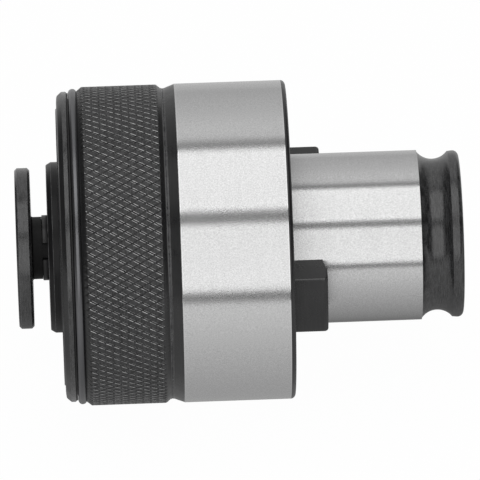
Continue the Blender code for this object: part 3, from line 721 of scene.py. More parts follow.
def lugSection(values, outerInset, sideInset):
    # one section of a lug as (across, outwards): a flank, its rounded edge, the crown, and back down
    edge = values["lugEdge"]
    crown = values["lugRadius"] - outerInset
    side = values["lugWidth"] / 2 - sideInset
    crownHalf = math.asin((side - edge) / crown)
    top = crown * math.cos(crownHalf) - edge * values["lugEdgeSink"]
    flank = [(-side, values["shankRadius"] - values["lugSink"])]
    flank += [(-side + edge * inset, top - edge * drop) for inset, drop in values["lugEdgeCurve"]]
    steps = values["lugCrownSteps"]
    angles = [-crownHalf + 2 * crownHalf * k / steps for k in range(steps + 1)]
    crownLine = [(crown * math.sin(angle), crown * math.cos(angle)) for angle in angles]
    return flank + crownLine + [(-across, outwards) for across, outwards in reversed(flank)]


def lugMesh(name, values, turnDeg):
    # sections from inside the clutch body out to the lug's rounded end
    height = values["lugHeight"]
    corner = values["lugCorner"]
    places = [(-values["lugRoot"], 0.0), (height - corner - values["lugCornerLead"], 0.0)]
    for k in range(values["lugCornerSteps"] + 1):
        angle = math.radians(90.0 * k / values["lugCornerSteps"])
        places.append((height - corner + corner * math.sin(angle), 1.0 - math.cos(angle)))
    spin = Matrix.Rotation(math.radians(turnDeg), 4, "X")
    vertices = []
    for station, fall in places:
        section = lugSection(values, corner * fall, values["lugEdge"] * fall)
        for across, outwards in section:
            vertices.append(spin @ Vector(((rearFace + station) * mm, across * mm, outwards * mm)))
    lug = joinRings(name, vertices, len(section), len(places))
    # the grinding relief round the shank bites into the lug's end
    shank = values["shankRadius"]
    deep, high = values["lugRelief"]
    past, under = values["lugReliefMargin"]
    relief = []
    for k in range(values["lugReliefSteps"] + 1):
        angle = math.radians(90.0 * k / values["lugReliefSteps"])
        relief.append((height - deep * math.cos(angle), shank + high * math.sin(angle)))
    relief += [(height + past, shank + high), (height + past, shank - under), (height - deep, shank - under)]
    return cutWith(lug, [turn("relief", relief, values["steps"])])


def makeDriveBody():
    values = driveBody
    front, _, bodyRadius = extent("drive_body")
    shank = values["shankRadius"]
    recess = values["recessRadius"]
    chamfer = values["recessChamfer"]
    rear = -values["rearSetback"]
    shoulder = -values["bodyLength"]
    coneStart = shoulder + values["coneLength"]
    coneRadius = bodyRadius - values["coneDrop"]
    groundEdge = values["groundEdge"]
    brightEdge = values["brightEdge"]
    corners = [
        (values["webFace"], recess, softEdge),
        (shankLength - chamfer, recess, values["recessEdge"]),
        (shankLength, recess + chamfer, values["recessEdge"]),
        (shankLength, values["crestRadius"], values["crestRounding"]),
    ]
    corners += grooveRun(values)[1:-1]
    corners += [
        (shankLength - values["grooveSetback"] - values["grooveLead"], shank - values["grooveStep"]),
        (rear + values["rootLength"], shank),
        (rear, shank - values["rootDrop"]),
        (rear, bodyRadius, values["rearRounding"]),
        (rear - values["rearRounding"] - brightEdge, bodyRadius),
        (coneStart + groundEdge + brightEdge, bodyRadius),
        (coneStart + groundEdge, bodyRadius),
        (coneStart, bodyRadius - values["groundDrop"]),
        (shoulder + values["coneLand"], coneRadius, fineEdge),
        (shoulder, coneRadius, values["shoulderEdge"]),
        (shoulder, values["threadRadius"] - values["threadDepth"], innerEdge),
    ]
    body = turn("drive_body_turned", roundCorners(corners + innerSide(values, front)), values["steps"])
    cutThread(body, values, front)
    lugs = [lugMesh("lug", values, turnDeg) for turnDeg in values["lugTurns"]]
    return cutWith(body, lugs, "UNION")


def threadStart(values):
    return -values["bodyLength"] - values["threadRelief"] - values["threadRunOut"]


def innerSide(values, front):
    # the thread's relief and end, the cup and the bores, back to the recess in the shank
    root = values["threadRadius"] - values["threadDepth"]
    start = threadStart(values)
    end = front + values["threadChamfer"]
    steps = int((start - end) / values["threadStep"])
    return [
        (-values["bodyLength"] - values["threadRelief"], root, innerEdge),
        *[(start + (end - start) * k / steps, values["threadRadius"]) for k in range(steps + 1)],
        (front, values["threadRadius"] - values["threadChamfer"], fineEdge),
        (front, values["cupRadius"], innerEdge),
        (values["cupFloor"], values["cupRadius"], wideEdge),
        (values["cupFloor"], values["bushSeatRadius"], innerEdge),
        (values["bushSeatRear"], values["bushSeatRadius"], innerEdge),
        (values["bushSeatRear"], values["boreRadius"], fineEdge),
        (values["webFace"], values["boreRadius"], innerEdge),
    ]


def cutThread(body, values, front):
    # a single-start thread on the cup: the radius falls with the place along and around
    start = threadStart(values)
    for vert in body.data.vertices:
        station, radius = placeOf(vert.co)
        if abs(radius - values["threadRadius"]) > closeBy or not front < station < start + closeBy:
            continue
        angle = math.atan2(-vert.co.y, vert.co.z)
        phase = (station / values["threadPitch"] - angle / math.tau) % 1.0
        fall = min(1.0, max(0.0, abs(phase - 0.5) * values["threadSlope"] - values["threadCrest"]))
        reshape(vert, station, radius - values["threadDepth"] * fall)


def finishDriveBody(body):
    values = driveBody
    bodyRadius = extent("drive_body")[2]
    finishes = [blackOxide, groundSteel, rubbedOxide, glossOxide, polishedSteel]
    finishPiece(body, "drive", finishes, ["drive_body"])
    rubEdges(body, finishes.index(rubbedOxide), values["rubWidth"])
    reach = values["groundReach"]
    shank = values["shankRadius"]
    brightEdge = values["brightEdge"]
    groundStart = -values["bodyLength"] + values["coneLength"] - closeBy
    groundEnd = -values["rearRounding"] - values["rearSetback"] - closeBy / 10
    glossStart = shankLength - values["grooveSetback"] - values["glossLead"]
    for face in body.data.polygons:
        station, radius = placeOf(face.center)
        tilt = min(abs(face.normal.y), abs(face.normal.z))
        fromEnds = min(groundEnd - station, station - groundStart - values["groundEdge"])
        onEdge = 0.0 < fromEnds < brightEdge and radius > bodyRadius - values["brightReach"]
        onLug = values["lugGlossFrom"] < station < values["lugHeight"]
        onLugEdge = radius > shank + values["lugGlossAbove"] and tilt > values["lugGlossTilt"]
        onBody = abs(radius - bodyRadius) < reach and groundStart < station < groundEnd
        onShank = abs(radius - shank) < reach and -values["rearSetback"] < station < glossStart
        if onEdge:
            face.material_index = finishes.index(polishedSteel)
        elif onLug and onLugEdge:
            face.material_index = finishes.index(glossOxide)
        elif onBody or onShank:
            face.material_index = finishes.index(groundSteel)
        elif station > glossStart and radius > values["recessRadius"] + values["glossAbove"]:
            face.material_index = finishes.index(glossOxide)
    return smooth(body)


body = finishDriveBody(makeDriveBody())
print("drive body turned:", len(body.data.polygons), "faces")


# Adjusting ring with its diamond knurl

adjustingRing = {
    "jointGap": 0.03,
    "rearChamfer": 1.07,
    "rearDrop": 0.66,
    "rearLand": 0.3,
    "rearEdge": 0.12,
    "rearShoulder": 0.6,
    "frontChamfer": 0.9,
    "frontDrop": 0.72,
    "frontEdge": 0.12,
    "wall": 3.0,
    "lip": 0.045,
    "lipRadius": 27.1,
    "lipSlope": 0.08,
    "boreRadius": 24.9,
    "boreChamfer": 0.25,
    "webBore": 17.0,
    "webChamfer": 0.2,
    "webThickness": 2.9,
    "knurlLines": 125,
    "knurlPitch": 2.58,
    "knurlDepth": 0.13,
    "grooveShare": 0.09,
    "crestShare": 0.08,
    "crestDrop": 0.055,
    "crestFinish": (knurlOxide, crestOxide, knurlOxide, crestOxide),
    # two of the four groove walls of each diamond get the painted shade
    "wallFinishAndShade": (knurlOxide, grooveShadeOxide, knurlOxide, grooveShadeOxide),
    "rearFinishLead": 0.1,
    "sharpDeg": 36.0,
}
ringFinishes = [knurlOxide, crestOxide, blackOxide, rubbedOxide, grooveShadeOxide]
diamond = ((1, 0), (0, 1), (-1, 0), (0, -1))


def knurlSheet(values, middle, length, outer):
    # raised diamonds on an open sheet wound round the axis; a place counts knurl lines around and pitches
    # along, and each diamond has a flat top, a narrow worn crest and walls down to the grooves it shares
    # two of the four walls of each diamond get painted shade, a darker copy of the knurl's finish
    lines = values["knurlLines"]
    rows = math.ceil(length / values["knurlPitch"]) + 1
    wall = 0.5 - values["grooveShare"]
    top = wall - values["crestShare"]
    crestFinish = [ringFinishes.index(finish) for finish in values["crestFinish"]]
    wallFinishAndShade = [ringFinishes.index(finish) for finish in values["wallFinishAndShade"]]
    form = bmesh.new()
    crossings = {}

    def corner(around, along, radius):
        station = middle + along * values["knurlPitch"]
        return form.verts.new(axisPoint(station, radius, math.tau * around / lines))

    def crossing(around, along):
        key = (round(2 * around) % (2 * lines), round(2 * along))
        if key not in crossings:
            crossings[key] = corner(around, along, outer - values["knurlDepth"])
        return crossings[key]

    def corners(around, along, reach, radius):
        return [corner(around + a * reach, along + b * reach, radius) for a, b in diamond]

    for row in range(-rows, rows + 1):
        for line in range(lines):
            around = line + (row % 2) / 2
            along = row / 2
            low = [crossing(around + a / 2, along + b / 2) for a, b in diamond]
            crest = corners(around, along, wall, outer - values["crestDrop"])
            high = corners(around, along, top, outer)
            form.faces.new(high)
            for i in range(len(diamond)):
                j = (i + 1) % len(diamond)
                form.faces.new((low[i], low[j], crest[j], crest[i])).material_index = wallFinishAndShade[i]
                form.faces.new((crest[i], crest[j], high[j], high[i])).material_index = crestFinish[i]
    return form


def trimSheet(form, station, clear=False, towardsRear=True):
    # cuts the sheet across the axis, and drops what lies beyond the cut where clear is set
    direction = 1.0 if towardsRear else -1.0
    everything = form.verts[:] + form.edges[:] + form.faces[:]
    bmesh.ops.bisect_plane(
        form, geom=everything, dist=snapReach, plane_co=((rearFace + station) * mm, 0.0, 0.0),
        plane_no=(direction, 0.0, 0.0), clear_outer=clear,
    )


def radiusAt(profile, station):
    # profile runs from the front to the rear
    if station <= profile[0][0]:
        return profile[0][1]
    for (nearStation, nearRadius), (farStation, farRadius) in zip(profile, profile[1:]):
        if station <= farStation:
            share = (station - nearStation) / (farStation - nearStation)
            return nearRadius + (farRadius - nearRadius) * share
    return profile[-1][1]


def ringProfile(values, front, rear, outer):
    # the ring's outside from front to rear, with both chamfers
    middle = (front + rear) / 2
    inner = outer - values["wall"]
    frontEnds = roundCorners([
        (front, inner),
        (front, outer - values["frontDrop"], values["frontEdge"]),
        (front + values["frontChamfer"], outer),
        (middle, outer),
        (middle, inner),
    ])[1:-2]
    rearEnds = roundCorners([
        (middle, inner),
        (middle, outer),
        (rear - values["rearChamfer"], outer, values["rearShoulder"]),
        (rear - values["rearLand"], outer - values["rearDrop"], fineEdge),
        (rear, outer - values["rearDrop"], values["rearEdge"]),
        (rear, inner),
    ])[2:-1]
    return frontEnds + rearEnds


def makeAdjustingRing():
    values = adjustingRing
    front, _, outer = extent("adjusting_ring")
    rear = -driveBody["bodyLength"] - values["jointGap"]
    profile = ringProfile(values, front, rear, outer)
    form = knurlSheet(values, (front + rear) / 2, rear - front, outer)
    trimSheet(form, rear, clear=True)
    trimSheet(form, front, clear=True, towardsRear=False)
    for station, _ in profile:
        if front + closeBy / 100 < station < rear - closeBy / 100:
            trimSheet(form, station)
    for vert in form.verts:
        station, radius = placeOf(vert.co)
        reshape(vert, station, min(radius, radiusAt(profile, station)))
    chamferStart = rear - values["rearChamfer"] - values["rearFinishLead"]
    for face in form.faces:
        station, _ = placeOf(face.calc_center_median())
        if station > chamferStart or station < front + values["frontChamfer"]:
            face.material_index = ringFinishes.index(blackOxide)
        if station > rear - values["rearEdge"]:
            face.material_index = ringFinishes.index(rubbedOxide)
    closeRing(form, values, front, rear)
    ring = formObject("adjusting_ring_knurled", form)
    finishPiece(ring, "adjuster", ringFinishes, ["adjusting_ring"])
    return smooth(ring, values["sharpDeg"])


def closeRing(form, values, front, rear):
    # both open ends are carried round the bore and the web until they meet
    bore = values["boreRadius"]
    web = front + values["webThickness"]
    lip = front - values["lip"]
    chamfer = values["webChamfer"]
    rearPath = [(rear, bore + values["boreChamfer"]), (rear - values["boreChamfer"], bore), (web, bore)]
    frontPath = [
        (front, values["lipRadius"] + values["lipSlope"]),
        (lip, values["lipRadius"]),
        (lip, values["webBore"] + chamfer),
        (lip + chamfer, values["webBore"]),
        (web, values["webBore"]),
    ]
    middle = (rearFace + (front + rear) / 2) * mm
    ends = []
    for atRear, path in ((True, rearPath), (False, frontPath)):
        edges = [edge for edge in form.edges if edge.is_boundary and (edge.verts[0].co.x > middle) == atRear]
        for station, radius in path:
            made = bmesh.ops.extrude_edge_only(form, edges=edges)["geom"]
            edges = [item for item in made if isinstance(item, bmesh.types.BMEdge) and item.is_boundary]
            for face in [item for item in made if isinstance(item, bmesh.types.BMFace)]:
                face.material_index = ringFinishes.index(blackOxide)
            for vert in {vert for edge in edges for vert in edge.verts}:
                reshape(vert, station, radius)
        ends += edges
    bmesh.ops.bridge_loops(form, edges=ends)
    bmesh.ops.recalc_face_normals(form, faces=form.faces)


ring = makeAdjustingRing()
print("adjusting ring knurled:", len(ring.data.polygons), "faces")


# Wire lock ring and front cap

wireRing = {
    "wire": 1.55,
    "outerRadius": 27.86,
    "splitDeg": 5.0,
    "splitPlaceDeg": -90.0,
    "shift": 0.15,
    "wireSteps": 20,
    "steps": 300,
}
frontCap = {
    "rearSetback": 0.05,
    "rearLip": (0.24, 27.15),  # length and radius
    "rearEdge": 0.28,
    "rimWidth": 0.9,
    "rimEdge": 0.12,
    "shoulderDrop": 0.75,
    "shoulderRise": 0.1,
    "shoulderRounding": 0.7,
    "shoulderRun": 1.1,
    "shoulderFillet": 0.4,
    "faceEdgeInset": 2.9,
    "faceStep": 0.18,
    "faceEdge": 0.06,
    "capThickness": 2.1,
    "bossLength": 2.05,
    "bossRadius": 15.07,
    "bossChamfer": 0.87,
    "bossChamferDrop": 0.5,
    "bossEdge": 0.25,
    "boreRadius": 10.3,
    "wireSeat": 26.16,
    "spigotRadius": 16.7,
    "spigotEnd": -34.4,
    "spigotStart": -37.3,
    "cornerSteps": 8,
    "steps": 288,
    # how far each finish reaches from its corner
    "bossReach": 0.5,
    "bossLead": 0.3,
    "rimReach": 0.05,
    "rubWidth": 0.04,
}
wireSharpDeg = 50.0


def makeWireRing():
    values = wireRing
    front, rear, _ = extent("lock_ring")
    middle = (front + rear) / 2 + values["shift"]
    size = values["wire"] / 2
    section = arcPoints(middle, values["outerRadius"] - size, size, 0, 360, values["wireSteps"])[:-1]
    split = values["splitDeg"]
    start = values["splitPlaceDeg"] + split / 2
    obj = turn("lock_ring_wire", section, values["steps"], start, 360.0 - split)
    smooth(obj, wireSharpDeg)
    return finishPiece(obj, "adjuster", [springSteel], ["lock_ring"])


def makeFrontCap():
    values = frontCap
    front, rear, outer = extent("front_cap")
    capFront = front + values["bossLength"]
    capRear = capFront + values["capThickness"] - values["rearSetback"]
    lipLength, lipRadius = values["rearLip"]
    step = values["faceStep"]
    stepStation = capFront + step
    shoulder = outer - values["shoulderDrop"]
    faceRadius = outer - values["faceEdgeInset"]
    boss = values["bossRadius"]
    corners = [
        (values["spigotEnd"], values["boreRadius"], softEdge),
        (values["spigotEnd"], values["spigotRadius"], softEdge),
        (values["spigotStart"], values["spigotRadius"]),
        (values["spigotStart"], values["wireSeat"]),
        (capRear + lipLength, values["wireSeat"]),
        (capRear + lipLength, lipRadius),
        (capRear, lipRadius),
        (capRear, outer, values["rearEdge"]),
        (capRear - values["rimWidth"], outer, values["rimEdge"]),
        (stepStation + values["shoulderRise"], shoulder, values["shoulderRounding"]),
        (stepStation, shoulder - values["shoulderRun"], values["shoulderFillet"]),
        (stepStation, faceRadius, values["faceEdge"]),
        (capFront, faceRadius - step, values["faceEdge"]),
        (capFront, boss, innerEdge),
        (front + values["bossChamfer"], boss, fineEdge),
        (front, boss - values["bossChamferDrop"], values["bossEdge"]),
        (front, values["boreRadius"], wideEdge),
    ]
    obj = turn("front_cap_turned", roundCorners(corners, values["cornerSteps"]), values["steps"])
    finishes = [blackOxide, rubbedOxide, lowSheenOxide, recessShadeOxide, glossOxide]
    finishPiece(obj, "adjuster", finishes, ["front_cap"])
    rubbed = finishes.index(rubbedOxide)
    rubEdges(obj, rubbed, values["rubWidth"])
    for face in obj.data.polygons:
        station, radius = placeOf(face.center)
        onFace = face.material_index != rubbed or station > capFront - values["bossLead"]
        if radius < boss + values["bossReach"] and onFace:
            face.material_index = finishes.index(lowSheenOxide)
        # the land deep in the groove behind the rim gets painted shade
        elif station > capRear - closeBy and radius < lipRadius + closeBy:
            face.material_index = finishes.index(recessShadeOxide)
        elif radius > outer - values["rimReach"]:
            face.material_index = finishes.index(glossOxide)
    return smooth(obj)


makeWireRing()
makeFrontCap()
print("lock ring and front cap turned")


# Release sleeve, its stop ring, and the nose with its snap ring

releaseSleeve = {
    "discThickness": 2.65,
    "discChamfer": 0.42,
    "discEdge": 0.1,
    "mouthRadius": 5.7,
    "mouthDepth": 2.2,
    "mouthEdge": 0.3,
    "neckRadius": 5.5,
    "neckFillet": 0.35,
    "grooveRadius": 5.0,
    "grooveStart": -43.93,
    "grooveEnd": -42.85,
    "boreRadius": 4.5,
    "ballLand": 4.75,
    "ballLandEnd": -43.9,
    "rearEdge": 0.12,
    "cornerSteps": 8,
    "steps": 224,
    "rubWidth": 0.03,
}
stopRing = {"rearShift": 0.08, "height": 0.61, "gapWidth": 3.0, "gapPlaceDeg": 59.0}
noseRing = {"rearShift": 0.0, "height": 1.2, "gapDeg": 24.0, "gapPlaceDeg": -140.0}
openRings = {"edge": 0.12, "edgeSteps": 3, "steps": 96}


def makeReleaseSleeve():
    values = releaseSleeve
    front, rear, disc = extent("release_sleeve")
    discRear = front + values["discThickness"]
    mouthFloor = front + values["mouthDepth"]
    neck = values["neckRadius"]
    chamfer = values["discChamfer"]
    edge = values["discEdge"]
    corners = [
        (rear, values["boreRadius"], fineEdge),
        (rear, neck, values["rearEdge"]),
        (values["grooveEnd"], neck),
        (values["grooveEnd"], values["grooveRadius"]),
        (values["grooveStart"], values["grooveRadius"]),
        (values["grooveStart"], neck),
        (discRear, neck, values["neckFillet"]),
        (discRear, disc - chamfer, edge),
        (discRear - chamfer, disc, edge),
        (front + chamfer, disc, edge),
        (front, disc - chamfer, edge),
        (front, values["mouthRadius"], values["mouthEdge"]),
        (mouthFloor, values["mouthRadius"], innerEdge),
        (mouthFloor, values["ballLand"], fineEdge),
        (values["ballLandEnd"], values["ballLand"]),
        (values["ballLandEnd"], values["boreRadius"]),
    ]
    obj = turn("release_sleeve_turned", roundCorners(corners, values["cornerSteps"]), values["steps"])
    finishes = [glossOxide, recessShadeOxide, rubbedOxide]
    finishPiece(obj, "release", finishes, ["release_sleeve"])
    rubEdges(obj, finishes.index(rubbedOxide), values["rubWidth"])
    # the neck, its groove, the mouth and the bore get the matt oxide darkened as painted shade
    for face in obj.data.polygons:
        if placeOf(face.center)[1] < neck + values["neckFillet"]:
            face.material_index = finishes.index(recessShadeOxide)
    return smooth(obj)


def openRing(name, node, values, gapDeg):
    # a flat ring with a gap; the gap's middle lies at gapPlaceDeg
    front, rear, outer = extent(node)
    rear += values["rearShift"]
    inner = outer - values["height"]
    corners = [(rear, inner), (rear, outer), (front, outer), (front, inner)]
    outline = roundCorners([(*corner, openRings["edge"]) for corner in corners], openRings["edgeSteps"])
    start = values["gapPlaceDeg"] + gapDeg / 2
    return smooth(turn(name, outline, openRings["steps"], start, 360.0 - gapDeg))


def makeSmallRings():
    half = stopRing["gapWidth"] / 2
    gapDeg = math.degrees(2 * math.asin(half / extent("stop_ring")[2]))
    stop = openRing("stop_ring_open", "stop_ring", stopRing, gapDeg)
    finishPiece(stop, "release", [blackOxide], ["stop_ring"])
    snap = openRing("nose_ring_open", "nose_ring", noseRing, noseRing["gapDeg"])
    finishPiece(snap, "spindle", [springSteel], ["nose_ring"])


makeReleaseSleeve()
makeSmallRings()
print("release sleeve and its rings turned")


# Tap spindle and the retaining ring on its tail

tapSpindle = {
    "tailRadius": 8.0,
    "tailGroove": 6.9,
    "tailChamfer": 0.5,
    "tailGrooveFront": 8.15,
    "tailGrooveRear": 9.65,
    "seatRadius": 9.2,
    "seatRear": -7.55,
    "seatFront": -21.4,
    "journalRadius": 10.0,
    "journalFront": -42.6,
    "journalEdge": 0.25,
    "pocketRadius": 6.2,
    "pocketFloor": -33.15,
    "noseRadius": 4.2,
    "noseGroove": 3.7,
    "noseGrooveRear": -46.35,
    "noseGrooveFront": -47.35,
    "tapRadius": 3.0,
    "coolantRadius": 2.0,
    "squareFront": -21.9,
    "squareRear": -13.9,
    "square": 4.5,
    "squareLead": 1.0,
    "ballHole": 1.05,
    "ballStation": -45.1,
    "ballCut": 4.0,
    "ballSink": 1.0,
    "ballTurns": (180.0, -60.0, 60.0),
    "keyFront": -15.0,
    "keyRear": -10.8,
    "keyInner": 7.7,
    "keyWidth": 3.6,
    "keyCut": 4.0,
    "keyTurns": (0.0, 180.0),
    "cornerSteps": 5,
    "steps": 128,
}
tailClip = {
    "height": 2.4,
    "gapDeg": 30.0,
    "earHole": 0.75,
    "earTurnDeg": 10.5,
    "earSpan": 9.0,
    "earLead": 0.8,
    "narrowing": 0.55,
    "bevel": 0.1,
    "bevelSteps": 2,
    "holeSteps": 24,
    "steps": 120,
}


def makeSpindle():
    values = tapSpindle
    front, rear, _ = extent("tap_spindle")
    tail = values["tailRadius"]
    nose = values["noseRadius"]
    corners = [
        (rear, values["coolantRadius"], wideEdge),
        (rear, tail - values["tailChamfer"], fineEdge),
        (rear - values["tailChamfer"], tail, fineEdge),
        (values["tailGrooveRear"], tail),
        (values["tailGrooveRear"], values["tailGroove"]),
        (values["tailGrooveFront"], values["tailGroove"]),
        (values["tailGrooveFront"], tail),
        (values["seatRear"], tail),
        (values["seatRear"], values["seatRadius"], softEdge),
        (values["seatFront"], values["seatRadius"]),
        (values["seatFront"], values["journalRadius"], softEdge),
        (values["journalFront"], values["journalRadius"], values["journalEdge"]),
        (values["journalFront"], values["pocketRadius"], softEdge),
        (values["pocketFloor"], values["pocketRadius"], wideEdge),
        (values["pocketFloor"], nose),
        (values["noseGrooveRear"], nose),
        (values["noseGrooveRear"], values["noseGroove"]),
        (values["noseGrooveFront"], values["noseGroove"]),
        (values["noseGrooveFront"], nose),
        (front, nose, softEdge),
        (front, values["tapRadius"], wideEdge),
        (values["squareFront"], values["tapRadius"]),
        (values["squareFront"], values["coolantRadius"]),
    ]
    obj = turn("tap_spindle_turned", roundCorners(corners, values["cornerSteps"]), values["steps"])
    square = values["square"]
    squareFront = values["squareFront"] - values["squareLead"]
    squareLength = values["squareRear"] - squareFront
    squareMiddle = (values["squareRear"] + squareFront) / 2
    tools = [block("squareTool", (squareLength, square, square), (squareMiddle, 0.0, 0.0))]
    keySize = (values["keyRear"] - values["keyFront"], values["keyWidth"], values["keyCut"])
    keyPlace = ((values["keyRear"] + values["keyFront"]) / 2, 0.0, values["keyInner"] + values["keyCut"] / 2)
    tools += [block("keyTool", keySize, keyPlace, turnDeg) for turnDeg in values["keyTurns"]]
    ballPlace = (values["ballStation"], 0.0, nose - values["ballSink"])
    for turnDeg in values["ballTurns"]:
        tools.append(drill("ballTool", values["ballHole"], values["ballCut"], ballPlace, turnDeg))
    smooth(cutWith(obj, tools))
    return finishPiece(obj, "spindle", [hardSteel], ["tap_spindle"])


def ringPoint(radius, angle, centre=(0.0, 0.0)):
    return centre[0] + radius * math.cos(angle), centre[1] + radius * math.sin(angle)


def makeTailClip():
    # a retaining ring with two eyes for the pliers, drawn flat and given its thickness by the curve
    values = tailClip
    front, rear, outer = extent("tail_ring")
    inner = outer - values["height"]
    bevel = values["bevel"] * mm
    curve = bpy.data.curves.new("tailClip", "CURVE")
    curve.dimensions = "2D"
    curve.fill_mode = "BOTH"
    curve.extrude = (rear - front) * mm / 2 - bevel
    curve.bevel_depth = bevel
    curve.bevel_resolution = values["bevelSteps"]
    curve.offset = -bevel
    half = math.radians(values["gapDeg"] / 2)
    steps = values["steps"]
    angles = [half + (math.tau - 2 * half) * k / steps for k in range(steps + 1)]
    edge = []
    for k, angle in enumerate(angles):
        pastEar = min(1.0, max(0.0, min(k, steps - k) / values["earSpan"] - values["earLead"]))
        edge.append(ringPoint(outer - values["narrowing"] * pastEar, angle))
    addLoop(curve, edge + [ringPoint(inner, angle) for angle in reversed(angles)])
    eye = half + math.radians(values["earTurnDeg"])
    holeAngles = [math.tau * k / values["holeSteps"] for k in range(values["holeSteps"])]
    for side in (-1, 1):
        centre = ringPoint((inner + outer) / 2, side * eye)
        addLoop(curve, [ringPoint(values["earHole"], angle, centre) for angle in holeAngles])
    drawn = addObject("tailClip", curve)
    mesh = finalMesh(drawn)
    bpy.data.objects.remove(drawn)
    middle = (rearFace + (front + rear) / 2) * mm
    mesh.transform(Matrix.Translation((middle, 0.0, 0.0)) @ Matrix.Rotation(math.radians(90), 4, "Y"))
    clip = smooth(addObject("tail_ring_clip", mesh))
    return finishPiece(clip, "spindle", [springSteel], ["tail_ring"])


def addLoop(curve, points):
    spline = curve.splines.new("POLY")
    spline.points.add(len(points) - 1)
    for point, (across, outwards) in zip(spline.points, points):
        point.co = (across * mm, outwards * mm, 0.0, 1.0)
    spline.use_cyclic_u = True


makeSpindle()
makeTailClip()
print("tap spindle and tail clip made")


# Release spring: a compression coil that shortens towards the sleeve when the sleeve is pushed back; here it
# is wound once, at one length

releaseSpring = {
    "wire": 0.8,
    "turns": 5,
    "closedTurns": 1,
    "closedPitch": 0.92,
    "coilSteps": 40,
    "wireSteps": 14,
    "travel": 2.0,
}


def makeReleaseSpring():
    # the first and last turns lie close and the others share the rise
    values = releaseSpring
    front, rear, outer = extent("release_spring")
    size = values["wire"] / 2
    closed = values["closedTurns"]
    openTurns = values["turns"] - 2 * closed
    rise = rear - front - values["wire"] - 2 * closed * values["closedPitch"]
    count = values["turns"] * values["coilSteps"]
    vertices = []
    for i in range(count + 1):
        turned = i / values["coilSteps"]
        middle = min(max(turned - closed, 0.0), openTurns)
        station = front + size + values["closedPitch"] * (turned - middle) + rise * middle / openTurns
        for point in arcPoints(station, outer - size, size, 0, 360, values["wireSteps"])[:-1]:
            vertices.append(axisPoint(*point, math.tau * turned))
    coil = joinRings("release_spring_coil", vertices, values["wireSteps"], count + 1)
    smooth(coil, wireSharpDeg)
    finishPiece(coil, "release", [springSteel], ["release_spring"])
    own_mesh(coil)


makeReleaseSpring()
print("release spring wound")


# The inner pieces keep their CAD meshes

innerFinish = {
    "tail_bush": bronze,
    "clutch_cage": bronze,
    "thrust_cage": bronze,
    "thrust_race_front": polishedSteel,
    "thrust_race_rear": polishedSteel,
    "clutch_ball": polishedSteel,
    "thrust_ball": polishedSteel,
    "locking_ball": polishedSteel,
    "pressure_ring": hardSteel,
    "clutch_plate": hardSteel,
    "clutch_key": hardSteel,
    "disc_spring": springSteel,
    "front_seal": sealRubber,
}
for name, node in frame["nodes"].items():
    for family, material in innerFinish.items():
        if name.startswith(family):
            for slot in node.material_slots:
                slot.material = material
print("inner pieces finished")


# Studio: table, room, two softboxes and the camera

studio = {
    "tableFront": 0.325,
    "tableBack": 1.2,
    "tableSide": 0.9,
    "tableColour": (0.86, 0.86, 0.86),
    "whiteToCamera": 0.98,
    "shadeReach": 40.0,
    "shadeLevel": 0.2,
    "shadeJoin": 0.001,
    "frontOpen": 0.745,
    "backOpen": 0.41,
    "boxDistance": 2.2,
    "overheadFrom": 60.0,
    "overheadTo": 108.0,
    "overheadLevel": 1.55,
    "frontFrom": 0.8,
    "frontTo": 50.2,
    "frontLevel": 1.49,
    "boxLeft": -1.55,
    "boxRight": 1.55,
    "sideLevel": (0.12, 0.12, 0.12),
    "sideSpan": (0.35, 0.6),
    # pairs of an angle above the near horizon and the grey there: 90 is overhead and 180 the far wall
    "room": (
        (0.0, 0.10), (20.0, 0.04), (45.0, 0.04), (50.0, 0.36), (62.0, 0.36), (66.0, 0.04),
        (100.0, 0.04), (108.0, 0.31), (114.5, 0.34), (118.0, 0.92), (130.0, 0.91), (146.0, 0.76),
        (180.0, 0.56), (230.0, 0.56), (300.0, 0.02), (350.0, 0.22),
    ),
}
photoView = {
    "elevation": 37.8,
    "azimuth": -1.4,
    "roll": 1.14,
    "distance": 1.48,
    "viewWidth": 0.0848,
    "aimRight": 0.00023,
    "aimUp": 0.00016,
    "sensorWidth": 36.0,
    "clip": (0.1, 20.0),
}


def mixShaders(tree, share, first, second, output):
    mix = addNode(tree, "ShaderNodeMixShader")
    feed(tree, mix, {0: share, 1: first, 2: second})
    feed(tree, addNode(tree, output), {"Surface": mix.outputs[0]})


def makeTable():
    values = studio
    low = cadBox[0].z
    side = values["tableSide"]
    near = -values["tableFront"]
    far = values["tableBack"]
    form = bmesh.new()
    corners = [(-side, near, low), (side, near, low), (side, far, low), (-side, far, low)]
    form.faces.new([form.verts.new(corner) for corner in corners])
    table = formObject("table", form)
    material = bpy.data.materials.new("paleTable")
    material.use_nodes = True
    tree = material.node_tree
    tree.nodes.clear()
    # reflections see the table with painted shade: darker close to the tool, where the tool shades it
    _, placeY, _ = splitPlace(tree, placeFrom(tree))
    away = calculate(tree, "DIVIDE", calculate(tree, "ABSOLUTE", placeY), -values["shadeReach"] * mm)
    openShare = calculate(tree, "SUBTRACT", 1.0, calculate(tree, "EXPONENT", away))
    join = values["shadeJoin"]
    openLevel = spanOf(tree, placeY, (-join, join), (values["frontOpen"], values["backOpen"]))
    shaded = calculate(tree, "MULTIPLY", openShare, openLevel)
    reflected = calculate(tree, "ADD", shaded, values["shadeLevel"])
    light = addNode(tree, "ShaderNodeLightPath").outputs
    matt = addNode(tree, "ShaderNodeBsdfDiffuse")
    feed(tree, matt, {"Color": values["tableColour"]})
    # the camera sees the table white, and reflections see its painted shade as a glow
    white = addNode(tree, "ShaderNodeEmission")
    feed(tree, white, {"Color": calculate(tree, "MAXIMUM", light["Is Camera Ray"], reflected)})
    toCamera = calculate(tree, "MULTIPLY", light["Is Camera Ray"], values["whiteToCamera"])
    share = calculate(tree, "ADD", toCamera, light["Is Glossy Ray"], clamp=True)
    mixShaders(tree, share, matt.outputs[0], white.outputs[0], "ShaderNodeOutputMaterial")
    table.data.materials.append(material)


